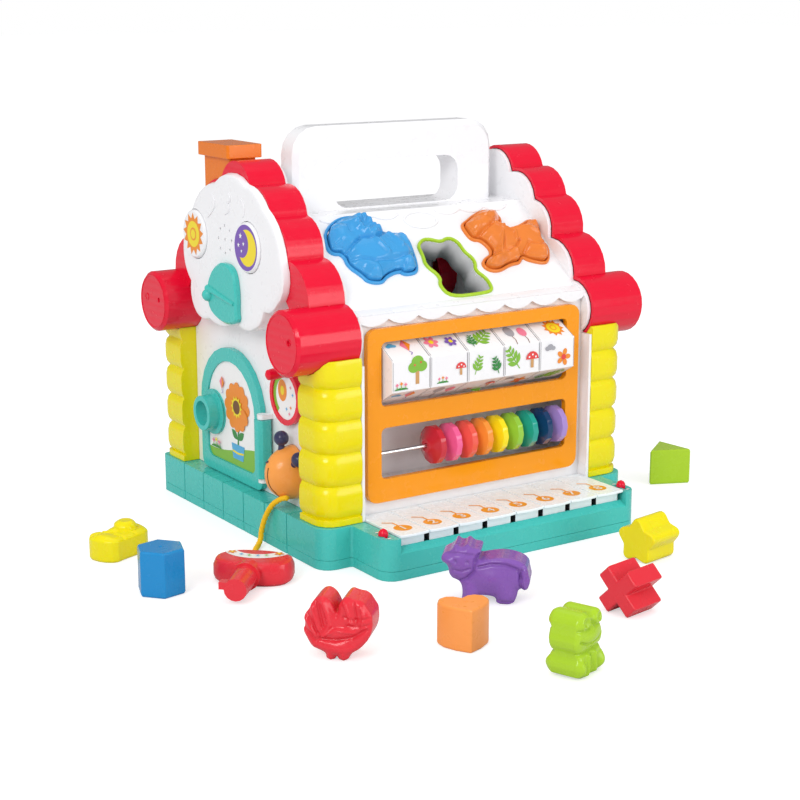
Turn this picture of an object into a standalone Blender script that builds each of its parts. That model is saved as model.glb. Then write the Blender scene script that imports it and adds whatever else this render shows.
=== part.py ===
"""A toy house for sorting shapes, with keys, beads, turning blocks, a door and loose blocks.

Metres, +Z up. +X runs to the right along the front, the front faces -Y, and the origin is the
middle of the underside of the base.
"""

import math

import bmesh
import bpy
from mathutils import Matrix, Vector

# Fits
GAP = 0.0003
PLAY = 0.0005
OVERRUN = 0.002

# Counts and steps
CORNER_STEPS = 4
ROUND_SIDES = 24
SMALL_SIDES = 12
LOBE_STEPS = 6

# Base
BASE_LENGTH = 0.280
BASE_WIDTH = 0.2544
BASE_HEIGHT = 0.0307
BASE_CORNER = 0.012
BASE_REAR_CORNER = 0.005
BASE_WALL = 0.0025
COVER_HEIGHT = 0.007
COVER_FLOOR = 0.003
TRAY_SET_BACK = 0.0247
TRAY_DEPTH = 0.0446
TRAY_NOTCH_ROUND = 0.002
END_BLOCK = 0.0123
WELL_FLOOR = 0.0197
LIP_WIDTH = 0.0058
LIP_RISE = 0.0038
LIP_FALL = 0.0039
GROOVE_COUNT = 6
GROOVE_PITCH = 0.0329
GROOVE_MIDDLE = 0.0058
GROOVE_WIDTH = 0.0012
GROOVE_DEPTH = 0.0009
BATTERY_LENGTH = 0.070
BATTERY_WIDTH = 0.050
BATTERY_HEIGHT = 0.0185
BATTERY_WALL = 0.0035
BATTERY_SET_BACK = 0.060
BATTERY_LID = 0.0025
BATTERY_LEDGE = 0.002

# Walls
WALL = 0.0022
HOUSE_SET_BACK_X = 0.016
HOUSE_SET_BACK_Y = 0.0132
WALL_HEIGHT = 0.1435
CORNER_X = 0.0193
CORNER_Y = 0.022
RIB_DEPTH = 0.0105
RIB_HEIGHT = 0.114

# Columns
COLUMN_SET_BACK = 0.0015
COLUMN_ROUND = 0.014
COLUMN_REAR_ROUND = 0.008
COLUMN_PLINTH = 0.0045
COLUMN_PLINTH_INSET = 0.0006
COLUMN_LOBE = 0.0237
COLUMN_LOBES = 5
COLUMN_GROOVE = 0.0028
COLUMN_WALL = 0.0025
LOBE_SHARES = [(0.12, 0.35), (0.3, 0.08), (0.7, 0.08), (0.88, 0.35), (1.0, 1.0)]

# Window frame
FRAME_SIDE_MARGIN = 0.0061
FRAME_BOTTOM_MARGIN = 0.010
FRAME_TOP_MARGIN = 0.0055
FRAME_THICKNESS = 0.0048
FRAME_CORNER = 0.008
FRAME_SIDE_BAR = 0.0118
FRAME_TOP_BAR = 0.0101
FRAME_MIDDLE_BAR = 0.0157
FRAME_BOTTOM_BAR = 0.0171
LOWER_WINDOW = 0.0382
WINDOW_CORNER = 0.004

# Recess behind the windows
RECESS_DEPTH = 0.030
RECESS_SIDE = 0.0019
RECESS_BOTTOM = 0.0093
RECESS_TOP = 0.005

# Picture blocks
BLOCK_COUNT = 5
BLOCK_MARGIN = 0.0037
BLOCK_AXIS_BACK = 0.0087
BLOCK_END_PLAY = 0.0016
BLOCK_BETWEEN = 0.0005
SHAFT_RADIUS = 0.003
SHAFT_HUB = BLOCK_AXIS_BACK - FRAME_THICKNESS - GAP
SHAFT_SEAT = 0.0012

# Bead rail
BEAD_COUNT = 9
BEAD_RADIUS = 0.0145
BEAD_PITCH_SHARE = 0.16726
BEAD_SIDES = 12
BEAD_END_SPACE = 0.0021
BEAD_DROP = 0.0001
ROD_RADIUS = 0.0015
ROD_SEAT = 0.005
BEAD_SHARES = [(-0.5, 0.34), (-0.42, 0.46), (-0.17, 1.0), (0.17, 1.0), (0.42, 0.46), (0.5, 0.34)]

# Keys
KEY_COUNT = 8
KEY_END_SPACE = 0.0006
KEY_BETWEEN = 0.0008
KEY_PLATE = 0.002
KEY_RISE = 0.0015
KEY_BODY = 0.0215
KEY_LIFT = 0.0028
KEY_OVERHANG = 0.0045
KEY_CORNER = 0.003
KEY_BULGE = 0.0012
KEY_RIDGE = 0.0045
KEY_HINGE_BACK = 0.001

# Switches
SWITCH_RADIUS = 0.0037
SWITCH_HEIGHT = 0.0048
SWITCH_STEM_WIDTH = 0.0028
SWITCH_STEM_LENGTH = 0.007
SWITCH_FOOT_WIDTH = 0.005
SWITCH_FOOT = 0.0015
SWITCH_TRAVEL = 0.0025
SWITCH_BACK = 0.0135

# Roof
ROOF_WALL = 0.003
EAVE_BACK = 0.009
EAVE_RISE = 0.0065
LIP_THICKNESS = 0.0022
APRON_DEPTH = 0.0010
APRON_VALLEY = 0.0008
APRON_LOBE = 0.0045
APRON_LOBES = 8
APRON_END = 0.0015
RIDGE_SHARE = 0.307
RIDGE_RISE = 0.0655
CHEEK_WIDTH = 0.003
CHEEK_STEP = 0.003
HANDLE_LENGTH = 0.183
HANDLE_DEPTH = 0.024
HANDLE_HEIGHT = 0.0635
HANDLE_ROUND = 0.021
HANDLE_SOFTEN = 0.004
GRIP_POST = 0.034
GRIP_RISE = 0.001
GRIP_HEIGHT = 0.0356
GRIP_ROUND = 0.012

# Verges
VERGE_WIDTH = 0.0299
VERGE_WALL = 0.0025
VERGE_VALLEY_SHARES = [(0.1974, 1.368), (0.4667, 1.0626), (0.6588, 0.6382), (0.9088, 0.1893)]
VERGE_INNER_SHARES = [(0.1754, 1.0153), (0.3088, 0.8198), (0.7509, -0.0534)]
VERGE_BULGE_SHARE = 0.207
RIDGE_LOBE_RISE = 0.0165
ROLL_RADIUS = 0.0239
ROLL_LENGTH = 0.0513
ROLL_BACK = 0.0125
ROLL_DROP = 0.0115
ROLL_CHAMFER = 0.002
DIMPLE_RADIUS = 0.002
DIMPLE_DEPTH = 0.0015
DIMPLE_FORWARD = 0.0103
DIMPLE_RISE = 0.0025

# Gable cloud, as shares of its width from the point over the middle of the wall
CLOUD_DEPTH = 0.017
CLOUD_WIDTH_SHARE = 1.4167
CLOUD_RISE = 0.0405
CLOUD_ROUND = 0.004
ROUND_SHARE = 0.293
CLOUD_SHARES = [
    (-0.14, 0.31, 0.16), (0.15, 0.30, 0.12), (0.38, 0.16, 0.12), (0.49, -0.05, 0.12),
    (0.42, -0.20, 0.15), (0.37, -0.35, 0.12), (0.24, -0.36, 0.1), (-0.03, -0.34, 0.12),
    (-0.21, -0.34, 0.12), (-0.30, -0.25, 0.12), (-0.42, -0.20, 0.2), (-0.47, 0.00, 0.12),
    (-0.31, 0.22, 0.12),
]
SOUND_LENGTH = 0.058
SOUND_HEIGHT = 0.030
SOUND_DEPTH = 0.010
SOUND_FRONT = 0.008
SOUND_Y = 0.005
SPEAKER_Y = 0.0066
SPEAKER_RISE = 0.0476
SPEAKER_HOLE = 0.0012
SPEAKER_PITCH = 0.0085
SPEAKER_SHARES = [
    (0.06, 1.23), (0.85, 0.86), (-0.84, 0.86), (1.25, 0.0), (0.0, 0.0), (-1.18, 0.03),
    (0.9, -0.86), (-0.85, -0.81), (0.0, -1.2),
]
SUN_Y_SHARE = 0.4737
SUN_RISE = 0.0465
MOON_Y_SHARE = -0.2544
MOON_RISE = 0.0459
BUTTON_RADIUS = 0.0188
BUTTON_PROUD = 0.0022
BUTTON_POCKET = 0.005
BUTTON_TRAVEL = 0.0015
BUTTON_DOME = 0.0015
LEAF_Y = 0.003
LEAF_RISE = 0.009
LEAF_WIDTH = 0.0568
LEAF_THICKNESS = 0.0045
LEAF_SOFTEN = 0.0015
LEAF_PIN = 0.003
LEAF_PIN_DEPTH = 0.006
LEAF_SHARES = [
    (0.00, 0.385), (-0.16, 0.37), (-0.27, 0.29), (-0.32, 0.14), (-0.34, -0.05), (-0.325, -0.22),
    (-0.35, -0.34), (-0.22, -0.40), (-0.02, -0.425), (0.22, -0.385), (0.40, -0.30), (0.47, -0.14),
    (0.46, 0.03), (0.42, 0.13), (0.30, 0.28), (0.13, 0.37),
]
LEAF_RIDGE_SHARES = [(0.44, 0.0), (-0.28, -0.12)]
LEAF_BALL_SHARE = (0.42, -0.095)
LEAF_BALL = 0.005

# Chimney
CHIMNEY_X = 0.0168
CHIMNEY_Y = 0.0323
CHIMNEY_LENGTH = 0.0226
CHIMNEY_WIDTH = 0.0412
CHIMNEY_CAP = 0.010
CHIMNEY_CAP_OUT = 0.0035
CHIMNEY_CAP_RISE = 0.1065
CHIMNEY_ROUND = 0.002

# Door
DOOR_Y_SHARE = 0.2456
DOOR_HALF_SHARE = 0.4298
DOOR_LIFT = 0.0008
DOOR_HEIGHT = 0.1031
DOOR_THICKNESS = 0.0044
DOOR_CORNER = 0.008
DOOR_LAP = 0.008
DOOR_BAND = 0.0105
DOOR_PANEL_DEPTH = 0.0015
HINGE_RADIUS = 0.0065
HINGE_OUT = 0.006
HINGE_LOW = 0.0143
HINGE_LENGTH = 0.045
HINGE_PIN = 0.0015
HINGE_PIN_PLAY = 0.0003
HINGE_PIN_LENGTH = 0.005
HINGE_LUG = 0.0042
HINGE_LUG_LENGTH = 0.0036
LOCK_Y_SHARE = 0.4912
LOCK_RISE = 0.0483
LOCK_FLANGE = 0.018
LOCK_FLANGE_THICKNESS = 0.0014
LOCK_TUBE = 0.0138
LOCK_HUB = 0.0119
LOCK_BORE = 0.0098
LOCK_OUT = 0.011

# Dial
DIAL_Y_SHARE = -0.4912
DIAL_RISE = 0.0823
DIAL_RADIUS_SHARE = 0.1886
DIAL_BAND = 0.004
DIAL_THICKNESS = 0.0045
DIAL_PANEL_DEPTH = 0.0015
DIAL_PIN = 0.003
DIAL_KNOB = 0.0045
DIAL_KNOB_OUT = 0.017
DIAL_KNOB_ANGLE = 103.0

# Animal head
HEAD_Y_SHARE = -0.5439
HEAD_RISE = 0.0263
HEAD_OUT = 0.0235
HEAD_WIDTH_SHARE = 0.1316
HEAD_HALF_HEIGHT = 0.022
HEAD_SHARES = [0.0, 0.35, 0.62, 0.83, 0.95, 0.995]
HORN_BALL = 0.0055
HORN_STEM = 0.002
HORN_PLACES = [(0.0095, 0.002, 0.0263), (0.0075, -0.0195, 0.0145)]
CORD_HOLE = 0.0026

# Sorting blocks and their holes
BLOCK_PLAY = 0.0006
RIM_WIDTH = 0.0026
BLOCK_SOFTEN = 0.0018
PROUD = 0.0075
BLOCK_DEPTH = 0.028
SHEEP_WIDTH_SHARE = 0.2668
SHEEP_WIDTH = BASE_LENGTH * SHEEP_WIDTH_SHARE
SHEEP_PLACE_SHARE = -0.205
SHEEP_PLACE_UP = 0.0545
SHEEP_PLACE = (BASE_LENGTH * SHEEP_PLACE_SHARE, SHEEP_PLACE_UP)
SHEEP_SHARES = [
    (-0.43, 0.28), (-0.50, 0.05), (-0.47, -0.03), (-0.36, -0.05), (-0.38, -0.20), (-0.28, -0.33),
    (-0.26, -0.42), (-0.09, -0.46), (0.0, -0.38), (0.16, -0.33), (0.17, -0.38), (0.33, -0.38),
    (0.40, -0.33), (0.45, -0.17), (0.50, 0.10), (0.43, 0.18), (0.19, 0.19), (0.13, 0.41),
    (-0.01, 0.46), (-0.21, 0.44),
]
DOG_WIDTH_SHARE = 0.2696
DOG_WIDTH = BASE_LENGTH * DOG_WIDTH_SHARE
DOG_PLACE_SHARE = 0.2357
DOG_PLACE_UP = 0.052
DOG_PLACE = (BASE_LENGTH * DOG_PLACE_SHARE, DOG_PLACE_UP)
DOG_SHARES = [
    (-0.47, 0.24), (-0.46, 0.07), (-0.43, 0.01), (-0.33, -0.01), (-0.29, -0.17), (-0.45, -0.24),
    (-0.50, -0.33), (-0.44, -0.41), (-0.32, -0.43), (-0.15, -0.36), (-0.01, -0.35), (0.04, -0.28),
    (0.09, -0.33), (0.28, -0.40), (0.37, -0.34), (0.46, -0.16), (0.42, -0.07), (0.48, 0.08),
    (0.50, 0.20), (0.41, 0.24), (0.24, 0.16), (0.02, 0.13), (0.11, 0.31), (-0.02, 0.43),
    (-0.21, 0.38), (-0.37, 0.29),
]
FROG_WIDTH_SHARE = 0.175
FROG_WIDTH = BASE_LENGTH * FROG_WIDTH_SHARE
FROG_PLACE_SHARE = 0.0121
FROG_PLACE_UP = 0.030
FROG_PLACE = (BASE_LENGTH * FROG_PLACE_SHARE, FROG_PLACE_UP)
FROG_BLOCK_SHARE = 0.70
FROG_DEPTH = 0.0215
FROG_STAND = (-0.1025, -0.3760)
FROG_HEADING = 21.0
FROG_SHARES = [
    (-0.43, 0.49), (-0.27, 0.62), (-0.13, 0.62), (0.04, 0.54), (0.16, 0.60), (0.28, 0.59),
    (0.38, 0.47), (0.38, 0.28), (0.46, 0.15), (0.46, 0.01), (0.38, -0.12), (0.48, -0.26),
    (0.50, -0.41), (0.47, -0.56), (0.24, -0.60), (-0.37, -0.60), (-0.46, -0.33), (-0.35, -0.17),
    (-0.50, 0.07), (-0.44, 0.28),
]
ROOSTER_WIDTH_SHARE = 0.1582
ROOSTER_WIDTH = BASE_LENGTH * ROOSTER_WIDTH_SHARE
ROOSTER_HEIGHT_SHARE = 0.935
ROOSTER_DEPTH = 0.024
ROOSTER_STAND = (-0.2174, -0.2718)
ROOSTER_HEADING = -46.0
ROOSTER_REAR_SHARE = 0.0429
ROOSTER_REAR_UP = 0.020
ROOSTER_REAR = (BASE_LENGTH * ROOSTER_REAR_SHARE, ROOSTER_REAR_UP)
ROOSTER_SHARES = [
    (-0.25, 1.00), (-0.37, 0.88), (-0.40, 0.78), (-0.49, 0.66), (-0.46, 0.53), (-0.50, 0.44),
    (-0.44, 0.31), (-0.37, 0.18), (-0.26, 0.14), (-0.17, 0.10), (-0.17, 0.00), (-0.04, 0.00),
    (-0.03, 0.06), (0.0, 0.06), (0.01, 0.00), (0.14, 0.00), (0.19, 0.12), (0.32, 0.20),
    (0.45, 0.37), (0.50, 0.54), (0.49, 0.74), (0.45, 0.80), (0.36, 0.95), (0.20, 0.97),
    (0.12, 1.01), (0.02, 0.89), (0.01, 0.75), (-0.02, 0.72), (-0.06, 0.84), (-0.13, 0.95),
]
COW_WIDTH_SHARE = 0.2161
COW_WIDTH = BASE_LENGTH * COW_WIDTH_SHARE
COW_HEIGHT_SHARE = 0.86
COW_DEPTH = 0.025
COW_STAND = (-0.0826, -0.2424)
COW_HEADING = -42.0
COW_REAR_SHARE = -0.2
COW_REAR_UP = 0.022
COW_REAR = (BASE_LENGTH * COW_REAR_SHARE, COW_REAR_UP)
COW_SHARES = [
    (-0.50, 0.59), (-0.48, 0.65), (-0.38, 0.70), (-0.34, 0.80), (-0.30, 0.75), (-0.25, 0.75),
    (-0.20, 0.80), (-0.16, 0.74), (-0.05, 0.73), (-0.06, 0.66), (-0.10, 0.57), (0.09, 0.62),
    (0.22, 0.63), (0.36, 0.60), (0.46, 0.53), (0.48, 0.40), (0.50, 0.32), (0.46, 0.19),
    (0.37, 0.23), (0.35, 0.11), (0.31, 0.00), (0.12, 0.00), (0.12, 0.09), (0.04, 0.11),
    (-0.10, 0.11), (-0.10, 0.00), (-0.27, 0.00), (-0.25, 0.16), (-0.28, 0.29), (-0.40, 0.34),
    (-0.42, 0.51), (-0.49, 0.55),
]
DUCK_WIDTH_SHARE = 0.1668
DUCK_WIDTH = BASE_LENGTH * DUCK_WIDTH_SHARE
DUCK_DEPTH = 0.018
DUCK_HUMP = 0.0055
DUCK_HUMP_RADIUS = 0.0095
DUCK_HUMP_SHARE = (0.17, 0.12)
DUCK_STAND = (-0.2426, -0.0096)
DUCK_REAR_SHARE = 0.2357
DUCK_REAR_UP = 0.048
DUCK_REAR = (BASE_LENGTH * DUCK_REAR_SHARE, DUCK_REAR_UP)
DUCK_SHARES = [
    (-0.50, 0.03), (-0.41, -0.23), (-0.22, -0.38), (-0.02, -0.28), (0.21, -0.20), (0.46, -0.09),
    (0.50, 0.07), (0.47, 0.29), (0.27, 0.38), (0.0, 0.32), (-0.20, 0.18), (-0.41, 0.17),
]
HEART_WIDTH = 0.034
HEART_DEPTH = 0.0285
HEART_STAND = (-0.1419, -0.3087)
HEART_HEADING = -21.0
HEART_SHARES = [
    (0.0, 0.0), (0.26, 0.20), (0.44, 0.42), (0.50, 0.62), (0.44, 0.80), (0.28, 0.89), (0.12, 0.86),
    (0.0, 0.76), (-0.12, 0.86), (-0.28, 0.89), (-0.44, 0.80), (-0.50, 0.62), (-0.44, 0.42),
    (-0.26, 0.20),
]
HEXAGON_RADIUS = 0.0175
HEXAGON_DEPTH = 0.0325
HEXAGON_STAND = (-0.2515, -0.098)
HEXAGON_HEADING = -109.0
TRIANGLE_SIDE = 0.0365
TRIANGLE_DEPTH = 0.0293
TRIANGLE_STAND = (0.2226, -0.0862)
TRIANGLE_HEADING = 66.0
TRIANGLE_ROUND = 0.0012
CROSS_WIDTH = 0.0345
CROSS_ARM = 0.0118
CROSS_DEPTH = 0.0285
CROSS_STAND = (-0.0230, -0.3074)
CROSS_HEADING = -80.0
CROSS_ROLL = 45.0
STAR_RADIUS = 0.0207
STAR_WAIST_SHARE = 0.60
STAR_DEPTH = 0.031
STAR_STAND = (0.0607, -0.2312)
STAR_HEADING = -80.0
STAR_LOBE = 0.0046

# Sorting holes in the right-hand wall, from the middle of the wall and its foot
SIDE_HOLE_ROWS = [("heart", -0.034, 0.098), ("hexagon", 0.034, 0.106), ("star", -0.052, 0.045),
                  ("cross", 0.0, 0.045), ("triangle", 0.052, 0.043)]

# Toy key
TOY_KEY_STAND = (-0.187, -0.112)
TOY_KEY_HEADING = -43.0
BOW_LENGTH = 0.057
BOW_DEPTH = 0.036
BOW_HEIGHT = 0.0175
BOW_SOFTEN = 0.0055
BOW_SIDES = 28
BOW_POWER = 2.6
SHANK_AXIS = 0.0105
SHANK_LENGTH = 0.034
SHANK_RADIUS = 0.0088
SHANK_TIP = 0.0080
SHANK_FLANGE = 0.0102
SHANK_FLANGE_THICKNESS = 0.003
SHANK_FLANGE_OUT = 0.004
TAB_LENGTH = 0.007
TAB_OUT = 0.0115
TAB_HEIGHT = 0.005

# Cord, from the head down to the floor and along it to the back of the toy key
CORD_DIAMETER = 0.0043
CORD_ROUTE = [
    (-0.1380, -0.0745, 0.0420), (-0.1395, -0.0675, 0.0395), (-0.1425, -0.0600, 0.0335),
    (-0.1445, -0.0535, 0.0235), (-0.1460, -0.0500, 0.0130), (-0.1472, -0.0500, 0.0060),
    (-0.1510, -0.0530, 0.0025), (-0.1570, -0.0600, 0.0023), (-0.1620, -0.0680, 0.0023),
    (-0.1660, -0.0770, 0.0030), (-0.1695, -0.0850, 0.0060), (-0.1740, -0.0905, 0.0085),
]
CORD_STEP = 0.006

# Places worked out from the sizes above
BASE_X = BASE_LENGTH / 2
BASE_Y = BASE_WIDTH / 2
TRAY_X = BASE_X - TRAY_SET_BACK
TRAY_FRONT = BASE_Y + TRAY_DEPTH
HOUSE_X = BASE_X - HOUSE_SET_BACK_X
HOUSE_Y = BASE_Y - HOUSE_SET_BACK_Y
DOOR_Y = HOUSE_Y * DOOR_Y_SHARE
DOOR_HALF = HOUSE_Y * DOOR_HALF_SHARE
LOCK_Y = HOUSE_Y * LOCK_Y_SHARE
DIAL_Y = HOUSE_Y * DIAL_Y_SHARE
DIAL_RADIUS = HOUSE_Y * DIAL_RADIUS_SHARE
HEAD_Y = HOUSE_Y * HEAD_Y_SHARE
HEAD_HALF_WIDTH = HOUSE_Y * HEAD_WIDTH_SHARE
SUN_Y = HOUSE_Y * SUN_Y_SHARE
MOON_Y = HOUSE_Y * MOON_Y_SHARE
CLOUD_WIDTH = HOUSE_Y * CLOUD_WIDTH_SHARE
SIDE_X = HOUSE_X - CORNER_X
SIDE_Y = HOUSE_Y - CORNER_Y
FOOT = BASE_HEIGHT + GAP
WALL_TOP = FOOT + WALL_HEIGHT
WELL_X = TRAY_X - END_BLOCK
WELL_BACK = HOUSE_Y + PLAY
LIP_INNER = TRAY_FRONT - LIP_WIDTH
FRAME_X = SIDE_X - WALL - FRAME_SIDE_MARGIN
FRAME_LOW = BASE_HEIGHT + FRAME_BOTTOM_MARGIN
FRAME_HIGH = WALL_TOP - FRAME_TOP_MARGIN
FRAME_BACK = HOUSE_Y + GAP
FRAME_FRONT = FRAME_BACK + FRAME_THICKNESS
WINDOW_X = FRAME_X - FRAME_SIDE_BAR
BLOCK_SPAN = 2 * (WINDOW_X - BLOCK_END_PLAY)
BEAD_PITCH = WINDOW_X * BEAD_PITCH_SHARE
LOWER_LOW = FRAME_LOW + FRAME_BOTTOM_BAR
LOWER_HIGH = LOWER_LOW + LOWER_WINDOW
UPPER_LOW = LOWER_HIGH + FRAME_MIDDLE_BAR
UPPER_HIGH = FRAME_HIGH - FRAME_TOP_BAR
RECESS_X = FRAME_X - RECESS_SIDE
RECESS_BACK = HOUSE_Y - RECESS_DEPTH
RECESS_LOW = FRAME_LOW + RECESS_BOTTOM
RECESS_HIGH = FRAME_HIGH - RECESS_TOP
BLOCK_Z = (UPPER_LOW + UPPER_HIGH) / 2
BLOCK_APOTHEM = (UPPER_HIGH - UPPER_LOW) / 2 - BLOCK_MARGIN
BLOCK_Y = FRAME_FRONT - BLOCK_AXIS_BACK
ROD_Y = (FRAME_FRONT + FRAME_BACK) / 2
ROD_Z = (LOWER_LOW + LOWER_HIGH) / 2 + BEAD_DROP
EAVE_Y = HOUSE_Y - EAVE_BACK
EAVE_Z = WALL_TOP + EAVE_RISE
RIDGE_Y = HOUSE_Y * RIDGE_SHARE
RIDGE_Z = WALL_TOP + RIDGE_RISE
LIP_Y = HOUSE_Y + GAP + LIP_THICKNESS
VERGE_X = SIDE_X + GAP
VERGE_OUT = VERGE_X + VERGE_WIDTH
ROLL_Y = HOUSE_Y - ROLL_BACK
ROLL_Z = WALL_TOP - ROLL_DROP
CLOUD_X = HOUSE_X + CLOUD_DEPTH
LEAF_Z = WALL_TOP + LEAF_RISE
DOOR_X = HOUSE_X + GAP
DOOR_LOW = BASE_HEIGHT + DOOR_LIFT
DOOR_ARCH_Z = DOOR_LOW + DOOR_HEIGHT - DOOR_HALF
HINGE_X = DOOR_X + HINGE_RADIUS
HINGE_Y = DOOR_Y - DOOR_HALF - HINGE_OUT
HINGE_Z = FOOT + HINGE_LOW
LOCK_Z = BASE_HEIGHT + LOCK_RISE
DIAL_Z = BASE_HEIGHT + DIAL_RISE
HEAD_Z = BASE_HEIGHT + HEAD_RISE
VERGE_VALLEYS = [(HOUSE_Y * y, RIDGE_RISE * z) for y, z in VERGE_VALLEY_SHARES]
VERGE_INNER = [(HOUSE_Y * y, RIDGE_RISE * z) for y, z in VERGE_INNER_SHARES]
SLOPE = Vector((0, EAVE_Y - RIDGE_Y, RIDGE_Z - EAVE_Z)).normalized()

# Colours
WHITE_COLOUR = (0.92, 0.92, 0.93)
TEAL_COLOUR = (0.08, 0.53, 0.48)
YELLOW_COLOUR = (0.80, 0.72, 0.01)
RED_COLOUR = (0.83, 0.01, 0.05)
ORANGE_COLOUR = (0.90, 0.32, 0.01)
CHIMNEY_COLOUR = (0.87, 0.24, 0.02)
GREY_COLOUR = (0.55, 0.55, 0.56)
METAL_COLOUR = (0.70, 0.70, 0.72)
HEAD_COLOUR = (0.94, 0.36, 0.07)
ROPE_COLOUR = (0.92, 0.55, 0.01)
BLUE_COLOUR = (0.05, 0.33, 0.69)
LIME_COLOUR = (0.40, 0.62, 0.03)
PURPLE_COLOUR = (0.23, 0.10, 0.42)
PEACH_COLOUR = (0.93, 0.32, 0.07)
BEAD_COLOURS = [
    (0.58, 0.02, 0.04), (0.87, 0.12, 0.31), (0.86, 0.11, 0.08), (0.91, 0.30, 0.04),
    (0.93, 0.76, 0.01), (0.29, 0.58, 0.05), (0.01, 0.35, 0.27), (0.01, 0.04, 0.13),
    (0.38, 0.25, 0.63),
]


def clear_scene():
    """Remove whatever the open file holds."""
    for existing in list(bpy.data.objects):
        bpy.data.objects.remove(existing, do_unlink=True)


def finish(name, colour, roughness=0.35, metallic=0.0):
    """A Principled material with one colour."""
    made = bpy.data.materials.new(name)
    made.use_nodes = True
    shader = made.node_tree.nodes["Principled BSDF"]
    shader.inputs["Base Color"].default_value = (*colour, 1)
    shader.inputs["Roughness"].default_value = roughness
    shader.inputs["Metallic"].default_value = metallic
    return made


def place(axis, u, v, w):
    """The point with outline coordinates u, v at the distance w along an axis."""
    if axis == "X":
        return (w, u, v)
    if axis == "Y":
        return (u, w, v)
    return (u, v, w)


def solid(name, points, faces, material=None, matrix=None):
    """An object with the given closed mesh, its faces turned outward."""
    mesh = bpy.data.meshes.new(name)
    mesh.from_pydata(points, [], faces)
    if matrix:
        mesh.transform(matrix)
    shape = bmesh.new()
    shape.from_mesh(mesh)
    bmesh.ops.recalc_face_normals(shape, faces=shape.faces)
    shape.to_mesh(mesh)
    shape.free()
    mesh.shade_smooth()
    mesh.set_sharp_from_angle(angle=math.radians(35))
    made = bpy.data.objects.new(name, mesh)
    bpy.context.scene.collection.objects.link(made)
    if material:
        mesh.materials.append(material)
    return made


def loft(name, rings, axis="Z", material=None, matrix=None, closed=False):
    """A solid through rings, each an outline and its distance along the axis."""
    count = len(rings[0][0])
    points = [place(axis, u, v, w) for outline, w in rings for u, v in outline]
    steps = len(rings) if closed else len(rings) - 1
    faces = []
    for step in range(steps):
        low = step * count
        high = (step + 1) % len(rings) * count
        for i in range(count):
            after = (i + 1) % count
            faces.append((low + i, low + after, high + after, high + i))
    if not closed:
        faces.append(tuple(range(count)))
        faces.append(tuple(range(len(points) - count, len(points))))
    return solid(name, points, faces, material, matrix)


def prism(name, outline, low, high, axis="Z", material=None, matrix=None):
    """An outline drawn out from low to high along an axis."""
    return loft(name, [(outline, low), (outline, high)], axis, material, matrix)


def box(name, low, high, material=None):
    """A box between two corners."""
    outline = [(low[0], low[1]), (high[0], low[1]), (high[0], high[1]), (low[0], high[1])]
    return prism(name, outline, low[2], high[2], "Z", material)


def circle(centre, radius, sides=ROUND_SIDES, turn=0.0):
    """The points of a round outline."""
    angles = [turn + 2 * math.pi * i / sides for i in range(sides)]
    return [(centre[0] + radius * math.cos(a), centre[1] + radius * math.sin(a)) for a in angles]


def turned(name, profile, centre, axis="X", sides=ROUND_SIDES, material=None, closed=False):
    """A round solid from a profile of distances along the axis and radii."""
    rings = [(circle(centre, radius, sides), w) for w, radius in profile]
    return loft(name, rings, axis, material, None, closed)


def rod(name, start, end, radius, sides=SMALL_SIDES, tip_radius=None, material=None):
    """A straight round bar between two points, tapered where a tip radius is given."""
    start, end = Vector(start), Vector(end)
    along = end - start
    turn = along.to_track_quat("Z", "Y").to_matrix().to_4x4()
    rings = [(circle((0, 0), radius, sides), 0), (circle((0, 0), tip_radius or radius, sides), along.length)]
    return loft(name, rings, "Z", material, Matrix.Translation(start) @ turn)


def ball(name, centre, radius, material=None):
    """A ball of 80 faces."""
    shape = bmesh.new()
    bmesh.ops.create_icosphere(shape, subdivisions=2, radius=radius)
    mesh = bpy.data.meshes.new(name)
    shape.to_mesh(mesh)
    shape.free()
    mesh.transform(Matrix.Translation(centre))
    mesh.shade_smooth()
    made = bpy.data.objects.new(name, mesh)
    bpy.context.scene.collection.objects.link(made)
    if material:
        mesh.materials.append(material)
    return made


def rounded(corners, steps=CORNER_STEPS):
    """An outline from corners (u, v, radius), each rounded by an arc."""
    outline = []
    for i, (u, v, radius) in enumerate(corners):
        here = Vector((u, v))
        if not radius:
            outline.append((u, v))
            continue
        before = Vector(corners[i - 1][:2]) - here
        after = Vector(corners[(i + 1) % len(corners)][:2]) - here
        half = before.angle(after) / 2
        radius = min(radius, min(before.length, after.length) / 2 * math.tan(half))
        middle = here + (before.normalized() + after.normalized()).normalized() * radius / math.sin(half)
        first = here + before.normalized() * radius / math.tan(half) - middle
        last = here + after.normalized() * radius / math.tan(half) - middle
        sweep = first.angle_signed(last)
        for step in range(steps + 1):
            spoke = first.copy()
            spoke.rotate(Matrix.Rotation(-sweep * step / steps, 2))
            outline.append(tuple(middle + spoke))
    return outline


def rectangle(low, high, radius=0.0):
    """A rectangle between two corners with rounded corners."""
    corners = [(low[0], low[1]), (high[0], low[1]), (high[0], high[1]), (low[0], high[1])]
    return rounded([(*corner, radius) for corner in corners])


def outward(outline):
    """One if the outline runs anticlockwise, else minus one."""
    area = 0.0
    for (u0, v0), (u1, v1) in zip(outline, outline[1:] + outline[:1]):
        area += u0 * v1 - u1 * v0
    return 1 if area > 0 else -1


def grown(outline, distance):
    """The outline moved outward by a distance, with mitred corners."""
    side = outward(outline)
    moved = []
    for i, (u, v) in enumerate(outline):
        here = Vector((u, v))
        into = (here - Vector(outline[i - 1])).normalized()
        away = (Vector(outline[(i + 1) % len(outline)]) - here).normalized()
        first = Vector((into.y, -into.x)) * side
        second = Vector((away.y, -away.x)) * side
        share = max(1 + first.dot(second), 0.5)
        moved.append(tuple(here + (first + second) * distance / share))
    return moved


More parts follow.
